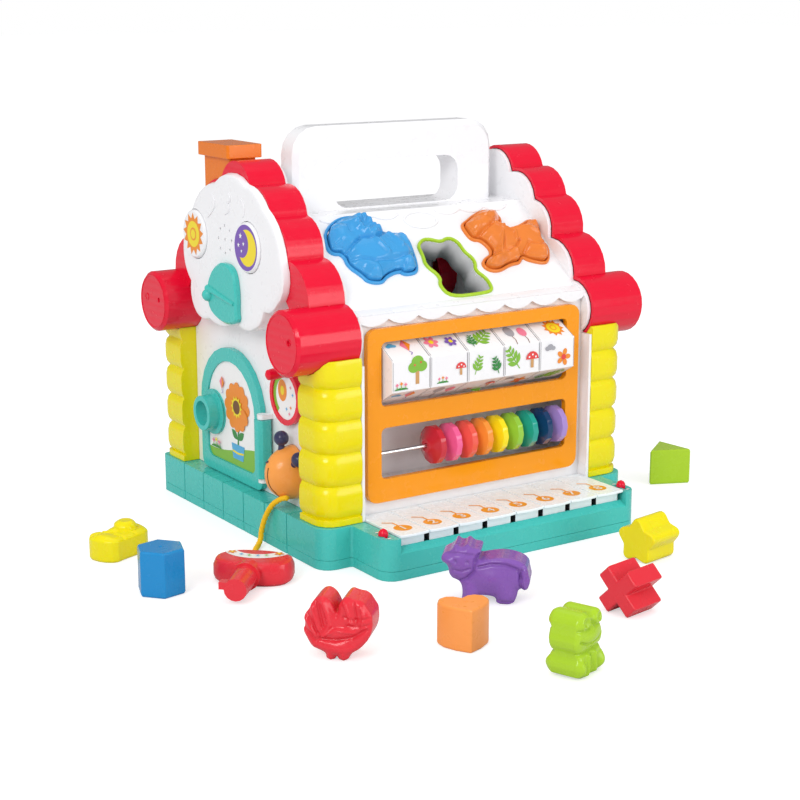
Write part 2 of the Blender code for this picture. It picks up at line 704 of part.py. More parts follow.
def softened(outline):
    """The outline with each corner cut once, a quarter along its sides."""
    points = []
    for (u0, v0), (u1, v1) in zip(outline, outline[1:] + outline[:1]):
        points.append((0.75 * u0 + 0.25 * u1, 0.75 * v0 + 0.25 * v1))
        points.append((0.25 * u0 + 0.75 * u1, 0.25 * v0 + 0.75 * v1))
    return points


def bulged(start, end, share, steps=LOBE_STEPS):
    """The start and the points of an arc to the end, bulging to its right by a share of the chord."""
    start, end = Vector(start), Vector(end)
    chord = end - start
    aside = Vector((chord.y, -chord.x))
    half_angle = 2 * math.atan(2 * share)
    points = []
    for step in range(steps):
        turn = half_angle * (2 * step / steps - 1)
        along = 0.5 + 0.5 * math.sin(turn) / math.sin(half_angle)
        rise = 0.5 * (math.cos(turn) - math.cos(half_angle)) / math.sin(half_angle)
        points.append(tuple(start + chord * along + aside * rise))
    return points


def scaled(shares, size, centre=(0.0, 0.0), upright=1.0):
    """An outline's shares as real places, its height multiplied by a further share."""
    return [(centre[0] + u * size, centre[1] + v * size * upright) for u, v in shares]


def mirrored(outline):
    """The outline turned over left to right."""
    return [(-u, v) for u, v in reversed(outline)]


def hidden(tool):
    """Mark an object as a tool that only shapes others."""
    tool.hide_render = True
    tool.display_type = "WIRE"
    return tool


def shaped(target, operation, tools):
    """Add a Boolean modifier to the target for each tool."""
    for tool in tools:
        hidden(tool)
        modifier = target.modifiers.new(tool.name, "BOOLEAN")
        modifier.operation = operation
        modifier.solver = "EXACT"
        modifier.object = tool
    return target


def cut(target, *tools):
    """Take the tools away from the target."""
    return shaped(target, "DIFFERENCE", tools)


def join(target, *tools):
    """Add the tools to the target as one body."""
    return shaped(target, "UNION", tools)


def pivot(made, point):
    """Move an object's origin to a point and leave its shape where it is."""
    made.data.transform(Matrix.Translation(-Vector(point)))
    made.location = point
    return made


def base_outline():
    """The base with the key tray in front, seen from above."""
    return rounded([
        (-TRAY_X, -TRAY_FRONT, BASE_CORNER), (TRAY_X, -TRAY_FRONT, BASE_CORNER),
        (TRAY_X, -BASE_Y, TRAY_NOTCH_ROUND), (BASE_X, -BASE_Y, BASE_CORNER),
        (BASE_X, BASE_Y, BASE_REAR_CORNER), (-BASE_X, BASE_Y, BASE_REAR_CORNER),
        (-BASE_X, -BASE_Y, BASE_CORNER), (-TRAY_X, -BASE_Y, TRAY_NOTCH_ROUND),
    ])


def brick_grooves(name):
    """Tools for the brick lines in both ends of the base."""
    tools = []
    for side in (-1, 1):
        outer = side * (BASE_X + OVERRUN)
        edge = side * (BASE_X - GROOVE_DEPTH)
        inner = side * (HOUSE_X + OVERRUN)
        high = BASE_HEIGHT + OVERRUN
        low = BASE_HEIGHT - GROOVE_DEPTH
        outline = [(outer, -OVERRUN), (outer, high), (inner, high), (inner, low), (edge, low), (edge, -OVERRUN)]
        for i in range(GROOVE_COUNT):
            y = GROOVE_MIDDLE + GROOVE_PITCH * (i - (GROOVE_COUNT - 1) / 2)
            tools.append(prism(f"{name}_{side}_{i}", outline, y - GROOVE_WIDTH / 2, y + GROOVE_WIDTH / 2, "Y"))
    return tools


def switch_y():
    """How far in front of the middle the switches stand."""
    return TRAY_FRONT - SWITCH_BACK


def base_tray(material):
    """The teal upper base: a hollow shell with the well that the keys move in."""
    outline = base_outline()
    deck = BASE_HEIGHT - BASE_WALL
    tray = prism("base_tray", outline, COVER_HEIGHT + GAP, BASE_HEIGHT, "Z", material)
    cut(tray, prism("base_hollow", grown(outline, -BASE_WALL), COVER_HEIGHT - OVERRUN, deck))
    shelf_x = WELL_X + BASE_WALL
    join(tray, box(
        "well_shelf",
        (-shelf_x, -(TRAY_FRONT - BASE_WALL / 2), WELL_FLOOR - BASE_WALL),
        (shelf_x, -(WELL_BACK - BASE_WALL), deck + BASE_WALL / 2),
    ))
    high = BASE_HEIGHT + OVERRUN
    lip_top = WELL_FLOOR + LIP_RISE
    fall = LIP_FALL / LIP_WIDTH
    well = [
        (-WELL_BACK, high), (-WELL_BACK, WELL_FLOOR), (-LIP_INNER, WELL_FLOOR), (-LIP_INNER, lip_top),
        (-(TRAY_FRONT + OVERRUN), lip_top - fall * (LIP_WIDTH + OVERRUN)), (-(TRAY_FRONT + OVERRUN), high),
    ]
    cut(tray, prism("key_well", well, -WELL_X, WELL_X, "X"))
    ridge_top = WELL_FLOOR + KEY_LIFT - GAP
    join(tray, box(
        "key_ridge",
        (-WELL_X - BASE_WALL / 2, -(WELL_BACK + KEY_RIDGE), WELL_FLOOR - BASE_WALL / 2),
        (WELL_X + BASE_WALL / 2, -(WELL_BACK - BASE_WALL / 2), ridge_top),
    ))
    slot_x = SWITCH_STEM_WIDTH / 2 + GAP
    slot_y = SWITCH_STEM_LENGTH / 2 + SWITCH_TRAVEL + GAP
    for side in (-1, 1):
        x = side * (WELL_X + END_BLOCK / 2)
        slot = rectangle((x - slot_x, -switch_y() - slot_y), (x + slot_x, -switch_y() + slot_y))
        cut(tray, prism(f"switch_slot_{side}", slot, deck - OVERRUN, BASE_HEIGHT + OVERRUN))
    return cut(tray, *brick_grooves("tray_groove"))


def battery_outline(margin):
    """The battery room in the underside, seen from above, widened by a margin."""
    half = BATTERY_LENGTH / 2 + margin
    return rectangle(
        (-half, BATTERY_SET_BACK - BATTERY_WIDTH / 2 - margin), (half, BATTERY_SET_BACK + BATTERY_WIDTH / 2 + margin)
    )


def bottom_cover(material):
    """The underside of the base, with the battery room built into it."""
    cover = prism("bottom_cover", base_outline(), 0, COVER_HEIGHT, "Z", material)
    cut(cover, prism("cover_hollow", grown(base_outline(), -BASE_WALL), COVER_FLOOR, COVER_HEIGHT + OVERRUN))
    roof = BATTERY_HEIGHT + BATTERY_WALL
    join(cover, prism("battery_walls", battery_outline(BATTERY_WALL), COVER_FLOOR / 2, roof))
    cut(cover, prism("battery_room", battery_outline(0), -OVERRUN, BATTERY_HEIGHT))
    seat = BATTERY_LID + 2 * GAP
    cut(cover, prism("battery_seat", battery_outline(BATTERY_LEDGE), -OVERRUN, seat))
    return cut(cover, *brick_grooves("cover_groove"))


def battery_cover(material):
    """The lid of the battery room, held in a step just above the rest face."""
    return prism("battery_cover", battery_outline(BATTERY_LEDGE - GAP), GAP, GAP + BATTERY_LID, "Z", material)


def column(name, side_x, side_y, material):
    """A hollow corner column of round-edged lobes, its top cut to carry the roll."""
    inner_x, inner_y = SIDE_X + GAP, SIDE_Y + GAP
    outer_x, outer_y = BASE_X - COLUMN_SET_BACK, BASE_Y - COLUMN_SET_BACK
    corner = COLUMN_ROUND if side_y < 0 else COLUMN_REAR_ROUND

    def ring(inset):
        corners = [
            (inner_x, inner_y, 0.0), (outer_x - inset, inner_y, 0.0),
            (outer_x - inset, outer_y - inset, corner), (inner_x, outer_y - inset, 0.0),
        ]
        return [(side_x * x, side_y * y) for x, y in rounded(corners)]

    z = FOOT + COLUMN_PLINTH
    rings = [(ring(COLUMN_PLINTH_INSET), FOOT), (ring(COLUMN_PLINTH_INSET), z), (ring(COLUMN_GROOVE), z + GAP)]
    for _ in range(COLUMN_LOBES):
        for height, inset in LOBE_SHARES:
            rings.append((ring(COLUMN_GROOVE * inset), z + GAP + COLUMN_LOBE * height))
        z += COLUMN_LOBE
    made = loft(name, rings, "Z", material)
    hollow = grown(ring(COLUMN_GROOVE), -COLUMN_WALL)
    cut(made, prism(f"{name}_hollow", hollow, FOOT - OVERRUN, ROLL_Z - ROLL_RADIUS - COLUMN_WALL * 2))
    start, end = side_x * (VERGE_X - PLAY * 2), side_x * (VERGE_X + ROLL_LENGTH + OVERRUN)
    seat = circle((side_y * ROLL_Y, ROLL_Z), ROLL_RADIUS + GAP)
    cut(made, prism(f"{name}_seat", seat, start, end, "X"))
    top = WALL_TOP - ROLL_DROP
    low = (side_x * (inner_x - OVERRUN), side_y * (inner_y - OVERRUN), ROLL_Z - ROLL_RADIUS / 2)
    high = (side_x * (outer_x + OVERRUN), side_y * (outer_y + OVERRUN), top + COLUMN_LOBE)
    return cut(made, box(f"{name}_top", low, high))


def plan(side_x, side_y, house_x, house_y, rib_y):
    """The walls' outline seen from above, with a notch at each corner for a column."""
    rib_in = SIDE_X - WALL
    quarter = [(house_x, side_y), (side_x, side_y), (side_x, rib_y), (rib_in, rib_y), (rib_in, house_y)]
    turned_over = [(-x, y) for x, y in reversed(quarter)]
    back = quarter + turned_over
    return back + [(-x, -y) for x, y in back]


def verge_crown():
    """The scalloped upper edge of a verge, from the rear eave over the ridge to the front."""
    valleys = [(y, WALL_TOP + z) for y, z in VERGE_VALLEYS]
    points = []
    for start, end in zip(valleys[::-1], valleys[::-1][1:]):
        points += bulged(start, end, VERGE_BULGE_SHARE)
    top = valleys[0]
    ridge_share = RIDGE_LOBE_RISE / (2 * top[0])
    points += bulged(top, (-top[0], top[1]), ridge_share, LOBE_STEPS * 2)
    for start, end in zip(valleys, valleys[1:]):
        points += bulged((-start[0], start[1]), (-end[0], end[1]), VERGE_BULGE_SHARE)
    points.append((-valleys[-1][0], valleys[-1][1]))
    return points


def verge_inner():
    """The lower edge of a verge, from the front to the rear, in straight runs."""
    half = [(y, WALL_TOP + z) for y, z in VERGE_INNER]
    return [(-y, z) for y, z in reversed(half)] + half


def verge_outline():
    """The whole outline of a verge seen from the side."""
    return verge_crown() + verge_inner()


def over_verge():
    """Everything over the lower edge of a verge, seen from the side."""
    inner = grown(verge_inner(), -GAP)
    end, high = VERGE_VALLEYS[-1][0], WALL_TOP + VERGE_VALLEYS[-1][1]
    far, top = BASE_Y, RIDGE_Z + HANDLE_HEIGHT
    return inner + [(end, high), (far, high), (far, top), (-far, top), (-far, high), (-end, high)]


def verge_room(name, side):
    """Tools that clear a verge and its rolls from the walls and the cloud."""
    low, high = sorted((side * (VERGE_X - GAP), side * (VERGE_OUT + GAP)))
    far = sorted((side * (VERGE_X - GAP), side * (VERGE_X + ROLL_LENGTH + OVERRUN)))
    tools = [prism(f"{name}_band", over_verge(), low, high, "X")]
    for end in (-1, 1):
        tools.append(prism(f"{name}_roll_{end}", circle((end * ROLL_Y, ROLL_Z), ROLL_RADIUS + GAP), *far, "X"))
    return tools


def door_outline(margin):
    """The door leaf seen from the side, widened by a margin."""
    half = DOOR_HALF + margin
    arch = [(DOOR_Y + half * math.cos(a), DOOR_ARCH_Z + half * math.sin(a))
            for a in (math.pi * i / SMALL_SIDES for i in range(SMALL_SIDES + 1))]
    foot = rounded([(DOOR_Y + half, DOOR_ARCH_Z, 0.0), (DOOR_Y - half, DOOR_ARCH_Z, 0.0),
                    (DOOR_Y - half, DOOR_LOW - margin, DOOR_CORNER),
                    (DOOR_Y + half, DOOR_LOW - margin, DOOR_CORNER)])
    return arch + foot[2:]


def cloud_outline():
    """The cloud on the left gable, in lobes."""
    middle = WALL_TOP + CLOUD_RISE
    points = [(u * CLOUD_WIDTH, middle + v * CLOUD_WIDTH, share) for u, v, share in CLOUD_SHARES]
    outline = []
    for (u0, v0, share), (u1, v1, _) in zip(points, points[1:] + points[:1]):
        outline += bulged((u1, v1), (u0, v0), share, 5)[::-1]
    return outline


def side_hole(shape, y, rise):
    """The outline of a sorting hole in the right-hand wall."""
    outline = grown(block_outline(shape), BLOCK_PLAY)
    return [(y + u, FOOT + rise + v) for u, v in outline]


def block_outline(shape):
    """The outline of a plain sorting block about its middle."""
    if shape == "heart":
        return scaled(HEART_SHARES, HEART_WIDTH, (0.0, -HEART_WIDTH / 2))
    if shape == "hexagon":
        return circle((0, 0), HEXAGON_RADIUS, 6)
    if shape == "triangle":
        return rounded([(u, v, TRIANGLE_ROUND) for u, v in circle((0, 0), TRIANGLE_SIDE / math.sqrt(3), 3)])
    if shape == "cross":
        arm, half = CROSS_ARM / 2, CROSS_WIDTH / 2
        corner = [(half, -arm), (half, arm), (arm, arm)]
        points = []
        for turn in range(4):
            rotation = Matrix.Rotation(math.pi / 2 * turn, 2)
            points += [tuple(rotation @ Vector(point)) for point in corner]
        return points
    points = []
    for i in range(5):
        angle = math.pi / 2 + 2 * math.pi * i / 5
        spoke = math.pi / 5
        points.append((STAR_RADIUS * math.cos(angle), STAR_RADIUS * math.sin(angle), STAR_LOBE))
        waist = STAR_RADIUS * STAR_WAIST_SHARE
        points.append((waist * math.cos(angle + spoke), waist * math.sin(angle + spoke), STAR_LOBE / 2))
    return rounded(points)


def door_lug(name, low, high, pin_low, pin_high):
    """Pieces of one hinge lug on the wall: a round eye, a web and a pin."""
    centre = (-HINGE_X, HINGE_Y)
    web = (-(HOUSE_X - WALL / 2), HINGE_Y)
    return [
        prism(f"{name}_eye", circle(centre, HINGE_LUG, SMALL_SIDES), low, high),
        box(f"{name}_web", (-HINGE_X, HINGE_Y - HINGE_LUG, low), (web[0], HINGE_Y, high)),
        prism(f"{name}_pin", circle(centre, HINGE_PIN, SMALL_SIDES), pin_low, pin_high),
    ]


def house_shell(material):
    """The white walls with the window recess, the gables and the cloud on the left gable."""
    outer = plan(SIDE_X, SIDE_Y, HOUSE_X, HOUSE_Y, HOUSE_Y + RIB_DEPTH)
    inner = plan(SIDE_X - WALL, SIDE_Y - WALL, HOUSE_X - WALL, HOUSE_Y - WALL, HOUSE_Y - WALL)
    inner = [point for i, point in enumerate(inner) if point != inner[i - 1]]
    shell = prism("house_shell", outer, FOOT, WALL_TOP, "Z", material)
    cut(shell, prism("house_hollow", inner, FOOT - OVERRUN, WALL_TOP + OVERRUN))
    for side in (-1, 1):
        for end in (-1, 1):
            low = (side * (SIDE_X - WALL - OVERRUN), end * HOUSE_Y, FOOT + RIB_HEIGHT)
            high = (side * (SIDE_X + OVERRUN), end * (HOUSE_Y + RIB_DEPTH + OVERRUN), WALL_TOP + OVERRUN)
            cut(shell, box(f"rib_end_{side}_{end}", low, high))
    for side in (-1, 1):
        faces = sorted((side * (HOUSE_X - WALL), side * HOUSE_X))
        join(shell, prism(f"gable_{side}", verge_inner(), *faces, "X"))
    cloud = cloud_outline()
    rings = [(cloud, -(HOUSE_X - WALL / 2))]
    for inset, depth in ((0, 1), (ROUND_SHARE, ROUND_SHARE), (1, 0)):
        rings.append((grown(cloud, -CLOUD_ROUND * inset), CLOUD_ROUND * depth - CLOUD_X))
    join(shell, loft("cloud", rings, "X"))
    join(shell, box(
        "recess_box",
        (-(RECESS_X + WALL), -(HOUSE_Y - WALL / 2), RECESS_LOW - WALL),
        (RECESS_X + WALL, -(RECESS_BACK - WALL), RECESS_HIGH + WALL),
    ))
    cut(shell, box("recess", (-RECESS_X, -(HOUSE_Y + OVERRUN), RECESS_LOW), (RECESS_X, -RECESS_BACK, RECESS_HIGH)))
    seat_x = RECESS_X + SHAFT_SEAT + GAP
    cut(shell, prism("shaft_seat", circle((-BLOCK_Y, BLOCK_Z), SHAFT_RADIUS + GAP, SMALL_SIDES), -seat_x, seat_x, "X"))
    for side in (-1, 1):
        cut(shell, *verge_room(f"shell_room_{side}", side))
    lug_low = HINGE_Z - GAP
    lug_high = HINGE_Z + HINGE_LENGTH + GAP
    join(shell, *door_lug("lower_lug", lug_low - HINGE_LUG_LENGTH, lug_low, lug_low - PLAY, lug_low + HINGE_PIN_LENGTH))
    join(shell, *door_lug("upper_lug", lug_high, lug_high + HINGE_LUG_LENGTH, lug_high - HINGE_PIN_LENGTH, lug_high + PLAY))
    wall = (-(HOUSE_X + OVERRUN), -(HOUSE_X - WALL - OVERRUN))
    cut(shell, prism("door_opening", door_outline(-DOOR_LAP), *wall, "X"))
    pin_hole = circle((DIAL_Y, DIAL_Z), DIAL_PIN + GAP, SMALL_SIDES)
    cut(shell, prism("dial_hole", pin_hole, *wall, "X"))
    cut(shell, *gable_cuts())
    for shape, y, rise in SIDE_HOLE_ROWS:
        span = (HOUSE_X - WALL - OVERRUN, HOUSE_X + OVERRUN)
        cut(shell, prism(f"{shape}_hole", side_hole(shape, y, rise), *span, "X"))
    return shell


def gable_cuts():
    """Tools for what the cloud holds: sound unit, speaker holes, two buttons and the leaf's pin."""
    inside = -(HOUSE_X - WALL - OVERRUN)
    room = grown(sound_outline(), GAP)
    tools = [prism("sound_room", room, -(CLOUD_X - SOUND_FRONT), inside, "X")]
    for i, (u, v) in enumerate(SPEAKER_SHARES):
        centre = (SPEAKER_Y + u * SPEAKER_PITCH, WALL_TOP + SPEAKER_RISE + v * SPEAKER_PITCH)
        hole = circle(centre, SPEAKER_HOLE, 6)
        tools.append(prism(f"speaker_{i}", hole, -(CLOUD_X + OVERRUN), inside, "X"))
    for name, y, rise in (("sun", SUN_Y, SUN_RISE), ("moon", MOON_Y, MOON_RISE)):
        ring = circle((y, WALL_TOP + rise), BUTTON_RADIUS + PLAY)
        tools.append(prism(f"{name}_pocket", ring, -(CLOUD_X + OVERRUN), -(CLOUD_X - BUTTON_POCKET), "X"))
    pin = circle((LEAF_Y, LEAF_Z), LEAF_PIN + GAP, SMALL_SIDES)
    tools.append(prism("leaf_hole", pin, -(CLOUD_X + OVERRUN), -(CLOUD_X - LEAF_PIN_DEPTH - GAP), "X"))
    return tools


def sound_outline():
    """The sound unit seen from the side."""
    middle = WALL_TOP + SPEAKER_RISE - SOUND_HEIGHT / 3
    return rectangle(
        (SOUND_Y - SOUND_LENGTH / 2, middle - SOUND_HEIGHT / 2), (SOUND_Y + SOUND_LENGTH / 2, middle + SOUND_HEIGHT / 2)
    )


def sound_unit(material):
    """The sound unit in its room behind the speaker holes."""
    front = -(CLOUD_X - SOUND_FRONT - GAP)
    return prism("sound_unit", sound_outline(), front, front + SOUND_DEPTH, "X", material)


def roof_matrix(side):
    """The frame on a roof slope: X along the ridge, Y up the slope, Z out of it; side is 1 in front."""
    up = Vector((0, side * SLOPE.y, SLOPE.z))
    out = Vector((0, -side * SLOPE.z, SLOPE.y))
    along = up.cross(out)
    turn = Matrix((along, up, out)).transposed().to_4x4()
    return Matrix.Translation((0, -side * EAVE_Y, EAVE_Z)) @ turn


def roof_profile():
    """The roof's section from side to side, seen from the left."""
    ledge = WALL_TOP + GAP
    fall = (RIDGE_Z - EAVE_Z) / (EAVE_Y - RIDGE_Y)
    inner_shift = ROOF_WALL * math.sqrt(1 + fall * fall)
    ledge_y = EAVE_Y + (EAVE_Z - inner_shift - ledge) / fall
    ridge_in = RIDGE_Z - ROOF_WALL
    ridge_in_y = EAVE_Y - (ridge_in - EAVE_Z + inner_shift) / fall
    half = [
        (RIDGE_Y, RIDGE_Z), (EAVE_Y, EAVE_Z), ((EAVE_Y + HOUSE_Y) / 2, EAVE_Z - GAP),
        (HOUSE_Y, EAVE_Z - LIP_THICKNESS), (LIP_Y, ledge), (ledge_y, ledge), (ridge_in_y, ridge_in),
    ]
    outer, inner = half[:5], half[5:]
    back = outer + inner
    front = [(-y, z) for y, z in reversed(back)]
    return back + front


def cheek_outline():
    """The cheek between the roof and a verge."""
    crown = verge_crown()
    deep = [(crown[-1][0], WALL_TOP), (crown[0][0], WALL_TOP)]
    shrunk = grown(crown + deep, -CHEEK_STEP)[:len(crown)]
    fall = (RIDGE_Z - EAVE_Z) / (EAVE_Y - RIDGE_Y)
    sink = ROOF_WALL / 2
    end = shrunk[0][0]
    low = EAVE_Z + (EAVE_Y - end) * fall - sink
    return shrunk + [(-end, low), (-RIDGE_Y, RIDGE_Z - sink), (RIDGE_Y, RIDGE_Z - sink), (end, low)]


def apron_outline():
    """The scalloped edge that hangs from an eave, seen from the front."""
    end = SIDE_X - APRON_END
    pitch = 2 * end / APRON_LOBES
    valley = WALL_TOP + APRON_VALLEY
    points = []
    for i in range(APRON_LOBES):
        start = i * pitch - end
        points += bulged((start, valley), (start + pitch, valley), APRON_LOBE / pitch)
    top = EAVE_Z - LIP_THICKNESS
    return points + [(end, valley), (end, top), (-end, top)]


def roof_shell(material):
    """The white roof with its cheeks, handle and the holes for six animals."""
    roof = prism("roof_shell", roof_profile(), -SIDE_X, SIDE_X, "X", material)
    for side in (-1, 1):
        faces = sorted((side * (SIDE_X - CHEEK_WIDTH), side * SIDE_X))
        join(roof, prism(f"cheek_{side}", cheek_outline(), *faces, "X"))
        for end in (-1, 1):
            disc = circle((end * ROLL_Y, ROLL_Z), ROLL_RADIUS - CHEEK_STEP)
            made = prism(f"roll_cheek_{side}_{end}", disc, *faces, "X")
            low = (faces[0] - OVERRUN, -(HOUSE_Y + GAP), ROLL_Z - ROLL_RADIUS)
            high = (faces[1] + OVERRUN, HOUSE_Y + GAP, WALL_TOP + GAP)
            join(roof, cut(made, box(f"wall_room_{side}_{end}", low, high)))
    for end in (-1, 1):
        faces = sorted((end * (HOUSE_Y + GAP), end * (LIP_Y + APRON_DEPTH)))
        join(roof, prism(f"apron_{end}", apron_outline(), *faces, "Y"))
    low = RIDGE_Z - ROOF_WALL / 2
    top = RIDGE_Z + HANDLE_HEIGHT
    half = HANDLE_LENGTH / 2
    outline = rounded([(-half, low, 0.0), (half, low, 0.0), (half, top, HANDLE_ROUND), (-half, top, HANDLE_ROUND)])
    face = HANDLE_DEPTH / 2
    inset = grown(outline, -HANDLE_SOFTEN)
    inset = [(u, max(v, low)) if v > low + HANDLE_SOFTEN * 2 else (u, low) for u, v in inset]
    join(roof, loft("handle", [(inset, -face), (outline, -face + HANDLE_SOFTEN),
                               (outline, face - HANDLE_SOFTEN), (inset, face)], "Y"))
    grip_x, grip_low = half - GRIP_POST, RIDGE_Z + GRIP_RISE
    grip_top = grip_low + GRIP_HEIGHT
    grip = rounded([(-grip_x, grip_low, GRIP_ROUND), (grip_x, grip_low, GRIP_ROUND),
                    (grip_x, grip_top, GRIP_ROUND), (-grip_x, grip_top, GRIP_ROUND)])
    cut(roof, prism("grip", grip, -(face + OVERRUN), face + OVERRUN, "Y"))
    depth = (-ROOF_WALL * 3, ROOF_WALL)
    for name, outline in front_holes().items():
        cut(roof, prism(f"{name}_hole", outline, *depth, "Z", None, roof_matrix(1)))
    for name, outline in rear_holes().items():
        cut(roof, prism(f"{name}_hole", outline, *depth, "Z", None, roof_matrix(-1)))
    return roof


def front_holes():
    """The animal holes in the front slope."""
    sheep = grown(softened(scaled(SHEEP_SHARES, SHEEP_WIDTH, SHEEP_PLACE)), -RIM_WIDTH)
    dog = grown(softened(scaled(DOG_SHARES, DOG_WIDTH, DOG_PLACE)), -RIM_WIDTH)
    frog = grown(softened(scaled(FROG_SHARES, FROG_WIDTH, FROG_PLACE)), -RIM_WIDTH)
    return {"sheep": sheep, "dog": dog, "frog": frog}


def rear_holes():
    """The animal holes in the rear slope, for the blocks that lie on the floor."""
    cow = grown(softened(scaled(COW_SHARES, COW_WIDTH, COW_REAR, COW_HEIGHT_SHARE)), BLOCK_PLAY)
    rooster = grown(softened(scaled(ROOSTER_SHARES, ROOSTER_WIDTH, ROOSTER_REAR, ROOSTER_HEIGHT_SHARE)), BLOCK_PLAY)
    duck = grown(softened(scaled(DUCK_SHARES, DUCK_WIDTH, DUCK_REAR)), BLOCK_PLAY)
    return {"cow": cow, "rooster": rooster, "duck": duck}


def verge(name, side, material):
    """A scalloped verge with a roll at each eave, hollow towards the house."""
    faces = sorted((side * VERGE_X, side * VERGE_OUT))
    made = prism(name, verge_outline(), *faces, "X", material)
    far = VERGE_X + ROLL_LENGTH
    for end in (-1, 1):
        centre = (end * ROLL_Y, ROLL_Z)
        profile = [(side * VERGE_X, ROLL_RADIUS), (side * (far - ROLL_CHAMFER), ROLL_RADIUS),
                   (side * far, ROLL_RADIUS - ROLL_CHAMFER)]
        join(made, turned(f"{name}_roll_{end}", profile, centre))
    low, high = sorted((side * (VERGE_X - OVERRUN), side * (VERGE_OUT - VERGE_WALL)))
    cut(made, prism(f"{name}_hollow", grown(verge_outline(), -VERGE_WALL), low, high, "X"))
    for end in (-1, 1):
        span = sorted((side * (VERGE_X - OVERRUN), side * (far - VERGE_WALL)))
        ring = circle((end * ROLL_Y, ROLL_Z), ROLL_RADIUS - VERGE_WALL)
        cut(made, prism(f"{name}_roll_hollow_{end}", ring, *span, "X"))
        dimple = circle((end * ROLL_Y - DIMPLE_FORWARD, ROLL_Z + DIMPLE_RISE), DIMPLE_RADIUS, SMALL_SIDES)
        span = sorted((side * (far - DIMPLE_DEPTH), side * (far + OVERRUN)))
        cut(made, prism(f"{name}_dimple_{end}", dimple, *span, "X"))
    return made


def chimney(material):
    """The orange chimney, its foot cut to sit on the left verge."""
    middle_x = -(VERGE_X + CHIMNEY_X)
    x, y = CHIMNEY_LENGTH / 2, CHIMNEY_WIDTH / 2
    low = WALL_TOP + VERGE_VALLEYS[1][1]
    top = WALL_TOP + CHIMNEY_CAP_RISE
    shaft = rectangle((middle_x - x, CHIMNEY_Y - y), (middle_x + x, CHIMNEY_Y + y), CHIMNEY_ROUND)
    made = prism("chimney", shaft, low, top + CHIMNEY_CAP / 2, "Z", material)
    x, y = x + CHIMNEY_CAP_OUT, y + CHIMNEY_CAP_OUT
    cap = rectangle((middle_x - x, CHIMNEY_Y - y), (middle_x + x, CHIMNEY_Y + y), CHIMNEY_ROUND)
    join(made, prism("chimney_cap", cap, top, top + CHIMNEY_CAP))
    return cut(made, prism("chimney_seat", grown(verge_outline(), GAP), -(VERGE_OUT + OVERRUN), -(VERGE_X - OVERRUN), "X"))


def window_frame(material):
    """The orange frame with its two windows and the blind holes for the bead rod."""
    outline = rectangle((-FRAME_X, FRAME_LOW), (FRAME_X, FRAME_HIGH), FRAME_CORNER)
    made = prism("window_frame", outline, -FRAME_FRONT, -FRAME_BACK, "Y", material)
    faces = (-(FRAME_FRONT + OVERRUN), -(FRAME_BACK - OVERRUN))
    upper = rectangle((-WINDOW_X, UPPER_LOW), (WINDOW_X, UPPER_HIGH), WINDOW_CORNER)
    lower = rectangle((-WINDOW_X, LOWER_LOW), (WINDOW_X, LOWER_HIGH), WINDOW_CORNER)
    cut(made, prism("upper_window", upper, *faces, "Y"), prism("lower_window", lower, *faces, "Y"))
    reach = WINDOW_X + ROD_SEAT + GAP
    return cut(made, prism("rod_seat", circle((-ROD_Y, ROD_Z), ROD_RADIUS + GAP, SMALL_SIDES), -reach, reach, "X"))


def picture_shaft(material):
    """The shaft that the picture blocks turn on, seated in both sides of the recess."""
    end = RECESS_X + SHAFT_SEAT
    shoulder = RECESS_X - GAP
    inner = BLOCK_SPAN / 2 + GAP
    half = [(inner, SHAFT_RADIUS), (inner, SHAFT_HUB), (shoulder, SHAFT_HUB), (shoulder, SHAFT_RADIUS), (end, SHAFT_RADIUS)]
    profile = [(-x, radius) for x, radius in reversed(half)] + half
    return pivot(turned("picture_shaft", profile, (-BLOCK_Y, BLOCK_Z), "X", SMALL_SIDES, material), (0, -BLOCK_Y, BLOCK_Z))


def picture_block(index, material):
    """One six-sided picture block with its bore."""
    pitch = BLOCK_SPAN / BLOCK_COUNT
    low = -BLOCK_SPAN / 2 + index * pitch + BLOCK_BETWEEN / 2
    high = low + pitch - BLOCK_BETWEEN
    centre = (-BLOCK_Y, BLOCK_Z)
    corner = BLOCK_APOTHEM / math.cos(math.pi / 6)
    name = f"picture_block_{index + 1}"
    made = prism(name, circle(centre, corner, 6, math.pi / 6), low, high, "X", material)
    bore = circle(centre, SHAFT_RADIUS + GAP, SMALL_SIDES)
    cut(made, prism(f"{name}_bore", bore, low - OVERRUN, high + OVERRUN, "X"))
    return pivot(made, ((low + high) / 2, -BLOCK_Y, BLOCK_Z))


def bead_rod(material):
    """The bright rod across the lower window."""
    reach = WINDOW_X + ROD_SEAT
    return rod("bead_rod", (-reach, -ROD_Y, ROD_Z), (reach, -ROD_Y, ROD_Z), ROD_RADIUS, SMALL_SIDES, None, material)


def bead(index, material):
    """One faceted bead; the last stands at the right-hand end of the rod."""
    middle = WINDOW_X - BEAD_END_SPACE - BEAD_PITCH * (BEAD_COUNT - index - 0.5)
    width = BEAD_PITCH - GAP
    profile = [(middle + along * width, share * BEAD_RADIUS) for along, share in BEAD_SHARES]
    bore = ROD_RADIUS + GAP
    profile += [(profile[-1][0], bore), (profile[0][0], bore)]
    centre = (-ROD_Y, ROD_Z)
    made = turned(f"bead_{index + 1}", profile, centre, "X", BEAD_SIDES, material, True)
    return pivot(made, (middle, -ROD_Y, ROD_Z))


